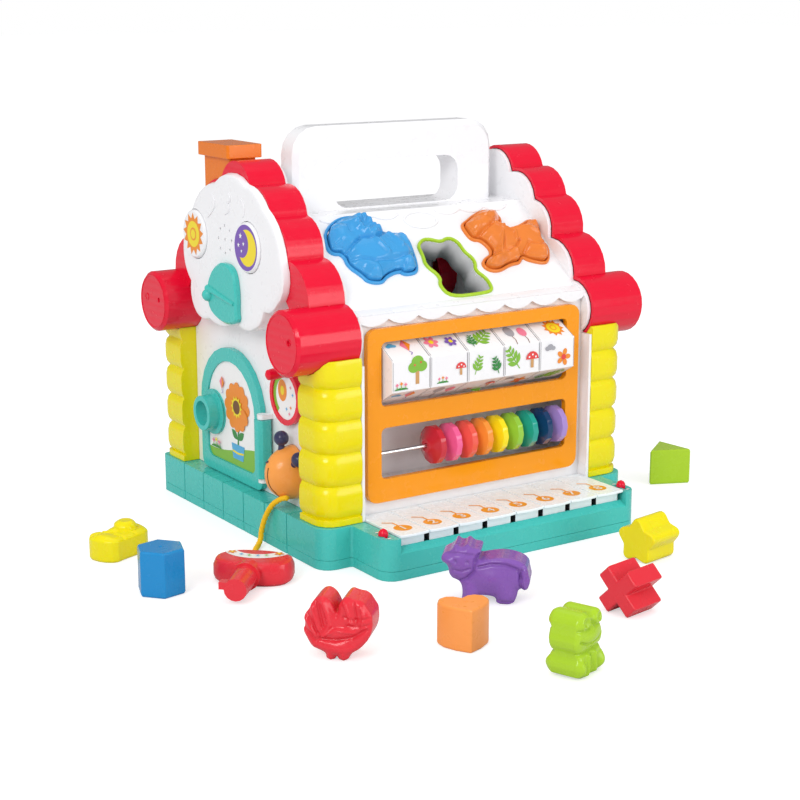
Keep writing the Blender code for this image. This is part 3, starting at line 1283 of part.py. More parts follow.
def piano_key(index, material):
    """One white key: a thin plate on a narrower body, hinged at the wall."""
    pitch = 2 * (WELL_X - KEY_END_SPACE) / KEY_COUNT
    middle = -WELL_X + KEY_END_SPACE + pitch * (index + 0.5)
    half = (pitch - KEY_BETWEEN) / 2
    top = BASE_HEIGHT + KEY_RISE
    back = -(HOUSE_Y + PLAY * 2)
    front = -(LIP_INNER + KEY_OVERHANG - KEY_BULGE)
    edge = bulged((middle - half, front), (middle + half, front), KEY_BULGE / (2 * half), CORNER_STEPS * 2)
    outline = edge + [(middle + half, front), (middle + half, back), (middle - half, back)]
    name = f"key_{index + 1}"
    made = prism(name, outline, top - KEY_PLATE, top, "Z", material)
    low = WELL_FLOOR + KEY_LIFT
    body = (-(LIP_INNER - PLAY * 2), low)
    join(made, box(
        f"{name}_body", (middle - KEY_BODY / 2, body[0], low),
        (middle + KEY_BODY / 2, back - PLAY, top - KEY_PLATE / 2),
    ))
    return pivot(made, (middle, -(HOUSE_Y + PLAY + KEY_HINGE_BACK), low))


def switch(name, side, material):
    """A slide switch: a red dome on a stem through the tray, with a foot below."""
    x, y = side * (WELL_X + END_BLOCK / 2), -switch_y()
    seat = BASE_HEIGHT + GAP
    deck = BASE_HEIGHT - BASE_WALL
    dome = [(seat, 1.0), (seat + SWITCH_HEIGHT * 0.45, 0.94), (seat + SWITCH_HEIGHT * 0.8, 0.66), (seat + SWITCH_HEIGHT, 0.2)]
    profile = [(z, share * SWITCH_RADIUS) for z, share in dome]
    made = turned(name, profile, (x, y), "Z", SMALL_SIDES, material)
    half_x, half_y = SWITCH_STEM_WIDTH / 2, SWITCH_STEM_LENGTH / 2
    join(made, box(f"{name}_stem", (x - half_x, y - half_y, deck - SWITCH_FOOT), (x + half_x, y + half_y, seat + SWITCH_FOOT)))
    foot_x = SWITCH_FOOT_WIDTH / 2
    foot_low = deck - GAP - SWITCH_FOOT
    join(made, box(f"{name}_foot", (x - foot_x, y - half_y, foot_low), (x + foot_x, y + half_y, deck - GAP)))
    return pivot(made, (x, y, BASE_HEIGHT))


def round_button(name, y, rise, material):
    """A round button in its pocket, pressed towards the house."""
    back = -(CLOUD_X - BUTTON_POCKET + BUTTON_TRAVEL + GAP)
    front = -(CLOUD_X + BUTTON_PROUD)
    profile = [(back, BUTTON_RADIUS), (front + BUTTON_DOME, BUTTON_RADIUS), (front, BUTTON_RADIUS - BUTTON_DOME)]
    centre = (y, WALL_TOP + rise)
    return pivot(turned(name, profile, centre, "X", ROUND_SIDES, material), (back, *centre))


def leaf_knob(material):
    """The leaf on the cloud, turned by its raised rib."""
    back = -(CLOUD_X + GAP)
    front = back - LEAF_THICKNESS
    outline = softened(scaled(LEAF_SHARES, LEAF_WIDTH, (LEAF_Y, LEAF_Z)))
    rings = [(outline, back), (outline, front + LEAF_SOFTEN), (grown(outline, -LEAF_SOFTEN), front)]
    made = loft("leaf_knob", rings, "X", material)
    pin = circle((LEAF_Y, LEAF_Z), LEAF_PIN, SMALL_SIDES)
    join(made, prism("leaf_pin", pin, -(CLOUD_X - LEAF_PIN_DEPTH), back - LEAF_THICKNESS / 2, "X"))
    (u0, v0), (u1, v1) = scaled(LEAF_RIDGE_SHARES, LEAF_WIDTH, (LEAF_Y, LEAF_Z))
    join(made, rod("leaf_rib", (front, u0, v0), (front, u1, v1), LEAF_BALL / 2, SMALL_SIDES, LEAF_SOFTEN))
    u2, v2 = scaled([LEAF_BALL_SHARE], LEAF_WIDTH, (LEAF_Y, LEAF_Z))[0]
    join(made, ball("leaf_ball", (front, u2, v2), LEAF_BALL))
    return pivot(made, (back, LEAF_Y, LEAF_Z))


def door(material):
    """The arched door leaf with its hinge barrel and the hole for the lock."""
    front = -(DOOR_X + DOOR_THICKNESS)
    leaf = prism("door", door_outline(0), front, -DOOR_X, "X", material)
    centre = (-HINGE_X, HINGE_Y)
    low, high = HINGE_Z, HINGE_Z + HINGE_LENGTH
    join(leaf, prism("door_barrel", circle(centre, HINGE_RADIUS, SMALL_SIDES), low, high))
    join(leaf, box("door_web", (front, HINGE_Y, low), (-DOOR_X, DOOR_Y - DOOR_HALF + DOOR_BAND, high)))
    cut(leaf, prism("door_panel", door_outline(-DOOR_BAND), front - OVERRUN, front + DOOR_PANEL_DEPTH, "X"))
    boss = circle((LOCK_Y, LOCK_Z), LOCK_FLANGE)
    join(leaf, prism("lock_boss", boss, front, -(DOOR_X + PLAY), "X"))
    hole = circle((LOCK_Y, LOCK_Z), LOCK_HUB + GAP)
    cut(leaf, prism("lock_hole", hole, front - OVERRUN, -DOOR_X + OVERRUN, "X"))
    bore = circle(centre, HINGE_PIN + HINGE_PIN_PLAY, SMALL_SIDES)
    depth = HINGE_PIN_LENGTH + PLAY
    cut(leaf, prism("lower_bore", bore, low - OVERRUN, low + depth), prism("upper_bore", bore, high - depth, high + OVERRUN))
    return pivot(leaf, (-HINGE_X, HINGE_Y, DOOR_LOW))


def lock_barrel(material):
    """The tube that the toy key turns in the door."""
    front = DOOR_X + DOOR_THICKNESS
    profile = [
        (-DOOR_X, LOCK_HUB), (-(front + GAP), LOCK_HUB), (-(front + GAP), LOCK_FLANGE),
        (-(front + GAP + LOCK_FLANGE_THICKNESS), LOCK_FLANGE), (-(front + GAP + LOCK_FLANGE_THICKNESS), LOCK_TUBE),
        (-(front + LOCK_OUT), LOCK_TUBE), (-(front + LOCK_OUT), LOCK_BORE), (-DOOR_X, LOCK_BORE),
    ]
    centre = (LOCK_Y, LOCK_Z)
    return pivot(turned("lock_barrel", profile, centre, "X", ROUND_SIDES, material, True), (-front, *centre))


def dial_ring(material):
    """The red dial with its knob, turning on a pin through the wall."""
    back, front = -(HOUSE_X + GAP), -(HOUSE_X + GAP + DIAL_THICKNESS)
    centre = (DIAL_Y, DIAL_Z)
    made = turned("dial_ring", [(back, DIAL_RADIUS), (front, DIAL_RADIUS)], centre, "X", ROUND_SIDES, material)
    panel = circle(centre, DIAL_RADIUS - DIAL_BAND)
    cut(made, prism("dial_panel", panel, front - OVERRUN, front + DIAL_PANEL_DEPTH, "X"))
    pin = circle(centre, DIAL_PIN, SMALL_SIDES)
    join(made, prism("dial_pin", pin, back - DIAL_THICKNESS / 2, -(HOUSE_X - WALL - GAP), "X"))
    angle = math.radians(DIAL_KNOB_ANGLE)
    reach = DIAL_RADIUS - DIAL_BAND / 2
    knob = (DIAL_Y + reach * math.cos(angle), DIAL_Z + reach * math.sin(angle))
    out = front - DIAL_KNOB_OUT
    profile = [(front + DIAL_THICKNESS / 2, 0.8), (front - DIAL_KNOB_OUT / 3, 0.8), (out + DIAL_KNOB_OUT / 3, 1.0),
               (out + DIAL_KNOB / 3, 0.85), (out, 0.35)]
    join(made, turned("dial_knob", [(x, share * DIAL_KNOB) for x, share in profile], knob, "X", SMALL_SIDES))
    return pivot(made, (back, *centre))


def animal_head(material):
    """The orange head with two horns, where the cord comes out of the wall."""
    back = -(HOUSE_X + GAP)
    rings = []
    for share in HEAD_SHARES:
        size = math.sqrt(1 - share * share)
        ring = [(HEAD_Y + size * HEAD_HALF_WIDTH * u, HEAD_Z + size * HEAD_HALF_HEIGHT * v)
                for u, v in circle((0, 0), 1, 16)]
        rings.append((ring, back - share * HEAD_OUT))
    made = loft("animal_head", rings, "X", material)
    for i, (out, y, z) in enumerate(HORN_PLACES):
        tip = (back - out, HEAD_Y + y, HEAD_Z + z)
        root = (back - out, HEAD_Y + y / 2, HEAD_Z + z / 2)
        join(made, rod(f"horn_stem_{i}", root, tip, HORN_STEM, 8), ball(f"horn_ball_{i}", tip, HORN_BALL))
    first, second = Vector(CORD_ROUTE[0]), Vector(CORD_ROUTE[1])
    inward = (first - second).normalized()
    return cut(made, rod("cord_hole", first + inward * GAP * 2, first - inward * CORD_DIAMETER * 3, CORD_HOLE))


def smooth_route(points, step):
    """Points about a step apart on a smooth curve through the route."""
    points = [Vector(point) for point in points]
    ends = [points[0] * 2 - points[1]] + points + [points[-1] * 2 - points[-2]]
    curve = []
    for p0, p1, p2, p3 in zip(ends, ends[1:], ends[2:], ends[3:]):
        steps = max(1, round((p2 - p1).length / step))
        for i in range(steps):
            t = i / steps
            curve.append(
                0.5 * (2 * p1 + (p2 - p0) * t + (2 * p0 - 5 * p1 + 4 * p2 - p3) * t * t
                       + (3 * p1 - p0 - 3 * p2 + p3) * t * t * t)
            )
    return curve + [points[-1]]


def cord(material):
    """The yellow cord from the head to the toy key."""
    data = bpy.data.curves.new("cord", "CURVE")
    data.dimensions = "3D"
    data.bevel_depth = CORD_DIAMETER / 2
    data.bevel_resolution = 2
    data.use_fill_caps = True
    route = smooth_route(CORD_ROUTE, CORD_STEP)
    spline = data.splines.new("POLY")
    spline.points.add(len(route) - 1)
    for point, place_on in zip(spline.points, route):
        point.co = (*place_on, 1)
    made = bpy.data.objects.new("cord", data)
    bpy.context.scene.collection.objects.link(made)
    data.materials.append(material)
    return made


def standing(stand, heading, lift=0.0, roll=0.0):
    """The frame of a block that stands on edge: outline X along the heading, outline Y up."""
    angle = math.radians(heading)
    along = Vector((math.cos(angle), math.sin(angle), 0))
    up = Vector((0, 0, 1))
    turn = Matrix((along, up, along.cross(up))).transposed().to_4x4()
    return Matrix.Translation((*stand, lift)) @ turn @ Matrix.Rotation(math.radians(roll), 4, "Z")


def lying(stand, heading):
    """The frame of a block that lies flat, turned about the vertical."""
    return Matrix.Translation((*stand, 0)) @ Matrix.Rotation(math.radians(heading), 4, "Z")


def block(name, outline, low, high, matrix, material):
    """A sorting block: an outline drawn out, with softened edges at both faces."""
    inset = grown(outline, -BLOCK_SOFTEN / 2)
    rings = [(inset, low), (outline, low + BLOCK_SOFTEN), (outline, high - BLOCK_SOFTEN), (inset, high)]
    made = loft(name, rings, "Z", material, matrix)
    return pivot(made, matrix.translation)


def animal_blocks(materials):
    """The six animal blocks: two in the roof and four on the floor."""
    holes = front_holes()
    for name, finish_name in (("sheep", "blue"), ("dog", "orange")):
        outline = grown(holes[name], -BLOCK_PLAY)
        block(f"block_{name}", outline, PROUD - BLOCK_DEPTH, PROUD, roof_matrix(1), materials[finish_name])
    frog = softened(scaled(FROG_SHARES, FROG_WIDTH * FROG_BLOCK_SHARE))
    foot = min(v for _, v in frog)
    block("block_frog", [(u, v - foot) for u, v in frog], -FROG_DEPTH, 0, standing(FROG_STAND, FROG_HEADING), materials["lime"])
    rooster = softened(scaled(ROOSTER_SHARES, ROOSTER_WIDTH, upright=ROOSTER_HEIGHT_SHARE))
    block("block_rooster", rooster, -ROOSTER_DEPTH, 0, standing(ROOSTER_STAND, ROOSTER_HEADING), materials["red"])
    cow = softened(scaled(COW_SHARES, COW_WIDTH, upright=COW_HEIGHT_SHARE))
    block("block_cow", cow, -COW_DEPTH, 0, standing(COW_STAND, COW_HEADING), materials["purple"])
    duck = block("block_duck", softened(scaled(DUCK_SHARES, DUCK_WIDTH)), 0, DUCK_DEPTH, lying(DUCK_STAND, 0), materials["yellow"])
    hump = [(DUCK_DEPTH / 2, 1.0), (DUCK_DEPTH + DUCK_HUMP / 2, 0.9), (DUCK_DEPTH + DUCK_HUMP, 0.5)]
    centre = (DUCK_STAND[0] + DUCK_HUMP_SHARE[0] * DUCK_WIDTH, DUCK_STAND[1] + DUCK_HUMP_SHARE[1] * DUCK_WIDTH)
    join(duck, turned("duck_hump", [(z, share * DUCK_HUMP_RADIUS) for z, share in hump], centre, "Z", SMALL_SIDES))


def plain_blocks(materials):
    """The five plain blocks on the floor."""
    heart = [(u, v + HEART_WIDTH / 2) for u, v in block_outline("heart")]
    block("block_heart", heart, 0, HEART_DEPTH, lying(HEART_STAND, HEART_HEADING), materials["peach"])
    block("block_hexagon", block_outline("hexagon"), 0, HEXAGON_DEPTH, lying(HEXAGON_STAND, HEXAGON_HEADING), materials["blue"])
    block("block_triangle", block_outline("triangle"), 0, TRIANGLE_DEPTH, lying(TRIANGLE_STAND, TRIANGLE_HEADING), materials["lime"])
    cross = block_outline("cross")
    roll = Matrix.Rotation(math.radians(CROSS_ROLL), 2)
    lift = -min((roll @ Vector(point)).y for point in cross)
    block("block_cross", cross, -CROSS_DEPTH, 0,
          standing(CROSS_STAND, CROSS_HEADING, lift, CROSS_ROLL), materials["red"])
    star = block_outline("star")
    lift = -min(v for _, v in star)
    block("block_star", star, -STAR_DEPTH, 0, standing(STAR_STAND, STAR_HEADING, lift), materials["yellow"])


def toy_key(material):
    """The red toy key lying on the floor: a pillowed bow, a flange and a tapered shank."""
    frame = lying(TOY_KEY_STAND, TOY_KEY_HEADING)

    def ring(inset):
        points = []
        for u, v in circle((0, 0), 1, BOW_SIDES):
            size = (abs(u) ** BOW_POWER + abs(v) ** BOW_POWER) ** (-1 / BOW_POWER)
            points.append((u * size * (BOW_LENGTH / 2 - inset), v * size * (BOW_DEPTH / 2 - inset)))
        return points

    soft = BOW_SOFTEN
    rings = [(ring(soft * 0.7), 0), (ring(soft * 0.2), soft * 0.4), (ring(0), soft),
             (ring(0), BOW_HEIGHT - soft), (ring(soft * 0.3), BOW_HEIGHT - soft * 0.3), (ring(soft), BOW_HEIGHT)]
    made = loft("toy_key", rings, "Z", material, frame)
    face = -BOW_DEPTH / 2
    tip = face - SHANK_LENGTH
    disc = face - SHANK_FLANGE_OUT

    def along(v, u=0.0, z=SHANK_AXIS):
        return frame @ Vector((u, v, z))

    join(made, rod("key_shank", along(face + soft), along(tip), SHANK_RADIUS, 16, SHANK_TIP))
    join(made, rod("key_flange", along(disc), along(disc - SHANK_FLANGE_THICKNESS), SHANK_FLANGE, 16))
    tab = prism("key_tab", rectangle((-TAB_OUT, tip), (0, tip + TAB_LENGTH)), SHANK_AXIS,
                SHANK_AXIS + TAB_HEIGHT, "Z", None, frame)
    join(made, tab)
    return pivot(made, (*TOY_KEY_STAND, 0))


def main():
    """Build the house and what lies round it."""
    clear_scene()
    white = finish("white_plastic", WHITE_COLOUR)
    teal = finish("teal_plastic", TEAL_COLOUR)
    yellow = finish("yellow_plastic", YELLOW_COLOUR)
    red = finish("red_plastic", RED_COLOUR)
    orange = finish("orange_plastic", ORANGE_COLOUR)
    grey = finish("grey_plastic", GREY_COLOUR)
    blocks = {
        "blue": finish("blue_block", BLUE_COLOUR), "orange": finish("orange_block", CHIMNEY_COLOUR),
        "lime": finish("lime_block", LIME_COLOUR), "red": finish("red_block", RED_COLOUR),
        "purple": finish("purple_block", PURPLE_COLOUR), "yellow": finish("yellow_block", YELLOW_COLOUR),
        "peach": finish("peach_block", PEACH_COLOUR),
    }
    base_tray(teal)
    bottom_cover(teal)
    battery_cover(teal)
    for name, side_x, side_y in (("front_left", -1, -1), ("front_right", 1, -1), ("rear_left", -1, 1), ("rear_right", 1, 1)):
        column(f"column_{name}", side_x, side_y, yellow)
    house_shell(white)
    sound_unit(grey)
    roof_shell(white)
    verge("verge_left", -1, red)
    verge("verge_right", 1, red)
    chimney(finish("chimney_orange", CHIMNEY_COLOUR))
    window_frame(orange)
    picture_shaft(grey)
    for index in range(BLOCK_COUNT):
        picture_block(index, white)
    bead_rod(finish("bright_rod", METAL_COLOUR, 0.2, 1.0))
    for index in range(BEAD_COUNT):
        bead(index, finish(f"bead_{index + 1}", BEAD_COLOURS[index], 0.2))
    for index in range(KEY_COUNT):
        piano_key(index, white)
    switch("switch_left", -1, red)
    switch("switch_right", 1, red)
    round_button("sun_button", SUN_Y, SUN_RISE, white)
    round_button("moon_button", MOON_Y, MOON_RISE, white)
    leaf_knob(teal)
    door(teal)
    lock_barrel(teal)
    dial_ring(red)
    animal_head(finish("head_orange", HEAD_COLOUR))
    cord(finish("yellow_cord", ROPE_COLOUR, 0.8))
    toy_key(red)
    animal_blocks(blocks)
    plain_blocks(blocks)


main()
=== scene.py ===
"""Looks of a plastic shape sorter house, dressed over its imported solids.

Lengths are metres in the house's own frame: X to the right along the piano
keys, Y to the back and Z up, with the origin under the middle of the base.
Printed motifs and moulded lines are drawn in millimetres on their own place.
"""

import logging
import math
from dataclasses import dataclass, field
from enum import Enum

import bmesh
import bpy
import numpy as np
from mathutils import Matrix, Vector

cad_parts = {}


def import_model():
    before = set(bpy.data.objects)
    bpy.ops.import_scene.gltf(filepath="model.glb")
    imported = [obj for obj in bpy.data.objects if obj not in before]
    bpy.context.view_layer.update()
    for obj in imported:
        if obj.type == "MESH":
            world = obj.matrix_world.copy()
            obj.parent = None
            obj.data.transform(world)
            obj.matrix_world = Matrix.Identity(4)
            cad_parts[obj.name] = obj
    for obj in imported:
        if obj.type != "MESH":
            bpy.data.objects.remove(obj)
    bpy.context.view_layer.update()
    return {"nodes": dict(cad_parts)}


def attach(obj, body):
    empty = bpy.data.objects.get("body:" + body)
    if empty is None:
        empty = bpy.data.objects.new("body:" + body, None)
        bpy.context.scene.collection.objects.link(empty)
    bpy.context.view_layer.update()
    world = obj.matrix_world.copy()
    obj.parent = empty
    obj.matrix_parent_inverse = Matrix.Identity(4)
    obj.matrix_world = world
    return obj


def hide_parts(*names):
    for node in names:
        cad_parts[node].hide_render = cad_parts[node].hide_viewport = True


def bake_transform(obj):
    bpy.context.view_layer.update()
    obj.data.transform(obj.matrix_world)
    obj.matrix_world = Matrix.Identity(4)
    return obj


LOG = logging.getLogger("shape_sorter_house")
MM = 0.001
RGB = tuple[float, float, float]
Pair = tuple[float, float]
Spot = tuple[float, float, float]
Socket = bpy.types.NodeSocket
Thing = bpy.types.Object

# Noises as features per metre and octaves
PATCHES = (40.0, 3.0)
WIPES = (130.0, 2.0)
SWELL = (55.0, 0.0)
FIBRE = (900.0, 4.0)
COCKLE = (260.0, 2.0)
DRAW_LINES = (3000.0, 2.0)
THREADS = (1400.0, 5.0)

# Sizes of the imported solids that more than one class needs
KEY_COUNT = 8
KEY_PITCH = 25.6 * MM
KEY_FIRST = -89.6 * MM
BLOCK_COUNT = 5
FROG_SPOT = (-0.1025, -0.3760)
FROG_HEADING = 21.0
FROG_WIDTH = 49.0 * MM
FROG_SHARE = 0.70


@dataclass(frozen=True)
class Finish:
    """A surface: its name, its colour and its slot; each kind lays its own nodes."""

    name: str
    colour: RGB
    slot: str = "white_plastic"

    def material(self) -> bpy.types.Material:
        """Return the Blender material, made once and then shared."""
        known = bpy.data.materials.get(self.name)
        if known:
            return known
        made = bpy.data.materials.new(self.name)
        made.use_nodes = True
        graph = Graph(made.node_tree)
        self.paint(graph, graph.add("ShaderNodeTexCoord").outputs["Object"])
        return made

    def paint(self, graph: "Graph", place: Socket) -> None:
        """Lay the nodes of this kind of finish over the Object coordinates."""
        raise NotImplementedError

    def shade(self, share: float) -> RGB:
        """Return the colour made lighter or darker by a share."""
        return tuple(min(1.0, part * share) for part in self.colour)


@dataclass(frozen=True)
class Plastic(Finish):
    """A moulded plastic: its shine, how uneven its faces are, and flutes along Z."""

    roughness: float = 0.24
    mottle: float = 0.03
    coat: float = 0.22
    glow: float = 0.0
    flute: float = 0.0

    def paint(self, graph: "Graph", place: Socket) -> None:
        """Lay the plastic's nodes.

        The colour is c (1 + m (n - 1/2)), with n a noise of 25 mm patches and
        m the mottle. The bump is a broad swell of the face, or flutes.

        Args:
            graph: The material's nodes.
            place: The Object coordinates.
        """
        low, high = self.shade(1 - self.mottle), self.shade(1 + self.mottle / 2)
        patches = graph.mix(graph.noise(place, *PATCHES), low, high)
        graph.link(self.over(graph, place, patches), graph.shader.inputs["Base Color"])
        shine = graph.spread(graph.noise(place, *WIPES), self.roughness - 0.05, self.roughness + 0.06)
        graph.link(shine, graph.shader.inputs["Roughness"])
        if self.flute:
            graph.bump(graph.bands(place, self.flute), 0.5, 0.3 * MM)
        else:
            graph.bump(graph.noise(place, *SWELL), 0.10, 0.4 * MM)
        graph.dial(graph.shader, Specular_IOR_Level=0.3, Coat_Weight=self.coat, Coat_Roughness=0.07,
                   Subsurface_Weight=self.glow, Subsurface_Scale=4 * MM)

    def over(self, graph: "Graph", place: Socket, colour: Socket) -> Socket:
        """Return the colour as it is; a finish with a second colour lays it over."""
        return colour


@dataclass(frozen=True)
class KeyPlasticGapShade(Plastic):
    """The keys' plastic, with painted shade on the sides that face the next key's body, where the deep gap
    between keys falls dark.
    """

    half: float = 10.55 * MM
    under: float = 30.0 * MM
    # painted shade: near-black on the keys' sides below their plates, for the dark gaps between keys
    dark: RGB = (0.05, 0.05, 0.055)

    def over(self, graph: "Graph", place: Socket, colour: Socket) -> Socket:
        """Lay the painted gap shade over where |((x - f + p/2) mod p) - p/2| > h and z < u.

        Args:
            graph: The material's nodes.
            place: The Object coordinates.
            colour: The colour so far.

        Returns:
            The socket with the colour.
        """
        split = graph.add("ShaderNodeSeparateXYZ")
        graph.link(place, split.inputs[0])
        shifted = graph.maths("ADD", split.outputs["X"], KEY_PITCH / 2 - KEY_FIRST)
        across = graph.maths("FLOORED_MODULO", shifted, KEY_PITCH)
        away = graph.maths("ABSOLUTE", graph.maths("SUBTRACT", across, KEY_PITCH / 2))
        side = graph.maths("GREATER_THAN", away, self.half)
        low = graph.maths("LESS_THAN", split.outputs["Z"], self.under)
        return graph.lay_over(graph.maths("MULTIPLY", side, low), colour, self.dark)


@dataclass(frozen=True)
class Label(Finish):
    """Ink on a paper label under a thin clear film."""

    def paint(self, graph: "Graph", place: Socket) -> None:
        """Lay ink over paper fibre."""
        inked = graph.mix(graph.noise(place, *FIBRE), self.shade(0.93), self.colour)
        graph.link(inked, graph.shader.inputs["Base Color"])
        graph.dial(graph.shader, Roughness=0.38)
        graph.bump(graph.noise(place, *COCKLE), 0.08, 0.05 * MM)


@dataclass(frozen=True)
class Steel(Finish):
    """Drawn and polished steel wire."""

    def paint(self, graph: "Graph", place: Socket) -> None:
        """Lay metal with fine draw lines along X."""
        stretched = graph.add("ShaderNodeMapping", Scale=(0.02, 1.0, 1.0))
        graph.link(place, stretched.inputs["Vector"])
        lines = graph.noise(stretched.outputs["Vector"], *DRAW_LINES)
        graph.link(graph.spread(lines, 0.12, 0.30), graph.shader.inputs["Roughness"])
        graph.dial(graph.shader, Base_Color=(*self.colour, 1.0), Metallic=1.0)


@dataclass(frozen=True)
class Braid(Finish):
    """A soft cord's fibre."""

    def paint(self, graph: "Graph", place: Socket) -> None:
        """Lay matt fibre, with painted shade: darker where the thread bump is low, between its threads."""
        threads = graph.noise(place, *THREADS)
        # painted shade: the noise that drives the bump also darkens the colour where the fibre sinks
        graph.link(graph.mix(threads, self.shade(0.88), self.colour), graph.shader.inputs["Base Color"])
        graph.dial(graph.shader, Roughness=0.85)
        graph.bump(threads, 0.3, 0.2 * MM)


class Graph:
    """A small helper that lays nodes into one tree."""

    def __init__(self, tree: bpy.types.NodeTree) -> None:
        """Keep the tree and its shader, where it has one."""
        self.tree = tree
        self.shader = tree.nodes.get("Principled BSDF")

    @staticmethod
    def dial(node: bpy.types.Node, **inputs: object) -> None:
        """Set a node's inputs by their names, with _ for each blank."""
        for name, value in inputs.items():
            node.inputs[name.replace("_", " ")].default_value = value

    def add(self, kind: str, **inputs: object) -> bpy.types.Node:
        """Add a node of a kind and set its inputs."""
        made = self.tree.nodes.new(kind)
        self.dial(made, **inputs)
        return made

    def link(self, source: Socket, target: Socket) -> None:
        """Join two sockets."""
        self.tree.links.new(source, target)

    def noise(self, place: Socket, scale: float, detail: float) -> Socket:
        """Add a noise, about 0 to 1, of a scale in features per metre and a detail in octaves."""
        made = self.add("ShaderNodeTexNoise", Scale=scale, Detail=detail)
        self.link(place, made.inputs["Vector"])
        return made.outputs["Fac"]

    def bands(self, place: Socket, pitch: float) -> Socket:
        """Add sine bands along Z, a pitch apart: the texture's phase is 20 s z."""
        made = self.add("ShaderNodeTexWave", Scale=2 * math.pi / (20 * pitch))
        made.bands_direction = "Z"
        self.link(place, made.inputs["Vector"])
        return made.outputs["Fac"]

    def mix(self, share: Socket, first: RGB, second: RGB) -> Socket:
        """Mix two colours by a socket: 0 gives the first and 1 the second."""
        made = self.tree.nodes.new("ShaderNodeMix")
        made.data_type = "RGBA"
        self.dial(made, A=(*first, 1.0), B=(*second, 1.0))
        self.link(share, made.inputs["Factor"])
        return made.outputs["Result"]

    def lay_over(self, share: Socket, under: Socket, colour: RGB) -> Socket:
        """Lay a colour over another where the share is 1."""
        mixed = self.mix(share, colour, colour)
        self.link(under, mixed.node.inputs["A"])
        return mixed

    def maths(self, kind: str, *parts: Socket | float) -> Socket:
        """Add one step of arithmetic on sockets and numbers and return its result."""
        made = self.add("ShaderNodeMath")
        made.operation = kind
        for part, slot in zip(parts, made.inputs):
            if isinstance(part, float):
                slot.default_value = part
            else:
                self.link(part, slot)
        return made.outputs["Value"]

    def spread(self, source: Socket, low: float, high: float, start: float = 0.3, end: float = 0.7) -> Socket:
        """Spread a socket's range, a noise's middle if no other, over low to high."""
        made = self.add("ShaderNodeMapRange", From_Min=start, From_Max=end, To_Min=low, To_Max=high)
        self.link(source, made.inputs["Value"])
        return made.outputs["Result"]

    def bump(self, height: Socket, strength: float, distance: float) -> None:
        """Use a socket as the surface's small relief."""
        made = self.add("ShaderNodeBump", Strength=strength, Distance=distance)
        self.link(height, made.inputs["Height"])
        self.link(made.outputs["Normal"], self.shader.inputs["Normal"])


WHITE = Plastic("white_moulding", (0.88, 0.88, 0.90), "white_plastic", 0.30, 0.02)
# the keys' finish paints shade on their sides, for the dark gaps between keys
KEYS = KeyPlasticGapShade("key_moulding_painted_gap_shade", (0.86, 0.95, 1.00), "white_plastic", 0.26, 0.01)
# painted shade: the chute is white plastic, made mid-grey for the shade inside the frog's hole
SHADED_CHUTE = Plastic("chute_painted_shade", (0.50, 0.50, 0.51), "white_plastic", 0.42, coat=0.0)
TEAL = Plastic("teal_moulding", (0.060, 0.530, 0.480), "teal_plastic", 0.26)
YELLOW = Plastic("yellow_moulding", (0.830, 0.725, 0.001), "yellow_plastic", glow=0.1)
RED = Plastic("red_moulding", (0.780, 0.004, 0.032), "red_plastic", 0.22)
LOBES = Plastic("red_lobe_moulding", (0.780, 0.004, 0.032), "red_plastic", 0.22, flute=6 * MM)
ORANGE = Plastic("orange_moulding", (0.900, 0.315, 0.001), "orange_plastic")
BRICK = Plastic("chimney_moulding", (0.800, 0.190, 0.006), "chimney_orange")
GREY = Plastic("grey_moulding", (0.50, 0.50, 0.51), "grey_plastic", 0.45, coat=0.0)
# painted shade: the sound unit, grey plastic, is made near-black so the speaker holes in front of it read
# dark
SPEAKER_HOLE_SHADE = Plastic("speaker_hole_painted_shade", (0.02, 0.02, 0.022), "grey_plastic", 0.50, coat=0.0)
BLUE = Plastic("blue_block_moulding", (0.050, 0.330, 0.690), "blue_block")
DEEP_BLUE = Plastic("deep_blue_moulding", (0.008, 0.240, 0.560), "blue_block")
LIME = Plastic("lime_moulding", (0.390, 0.610, 0.022), "lime_block", 0.26)
PURPLE = Plastic("purple_moulding", (0.225, 0.095, 0.420), "purple_block", 0.26)
PEACH = Plastic("peach_moulding", (0.920, 0.330, 0.075), "peach_block", 0.30)
APRICOT = Plastic("apricot_moulding", (0.935, 0.365, 0.075), "head_orange", 0.30)
NAVY = Plastic("navy_moulding", (0.042, 0.045, 0.110), "head_orange", 0.30)
BLOCK_ORANGE = Plastic("orange_block_moulding", (0.780, 0.215, 0.036), "orange_block", 0.22)
BLOCK_RED = Plastic("red_block_moulding", (0.740, 0.028, 0.045), "red_block")
STEEL = Steel("bright_steel", (0.72, 0.73, 0.75), "bright_rod")
FIBRES = Braid("yellow_cord_fibre", (1.0, 0.58, 0.004), "yellow_cord")
BEAD_COLOURS = {
    "red": (0.58, 0.018, 0.036), "pink": (0.87, 0.120, 0.31), "coral": (0.86, 0.110, 0.078),
    "orange": (0.91, 0.300, 0.04), "yellow": (0.93, 0.760, 0.01), "lime": (0.29, 0.580, 0.05),
    "teal": (0.012, 0.35, 0.27), "navy": (0.006, 0.04, 0.13), "lilac": (0.38, 0.250, 0.63),
}
BEADS = [Plastic(f"bead_{name}", colour, roughness=0.08, coat=0.6) for name, colour in BEAD_COLOURS.items()]


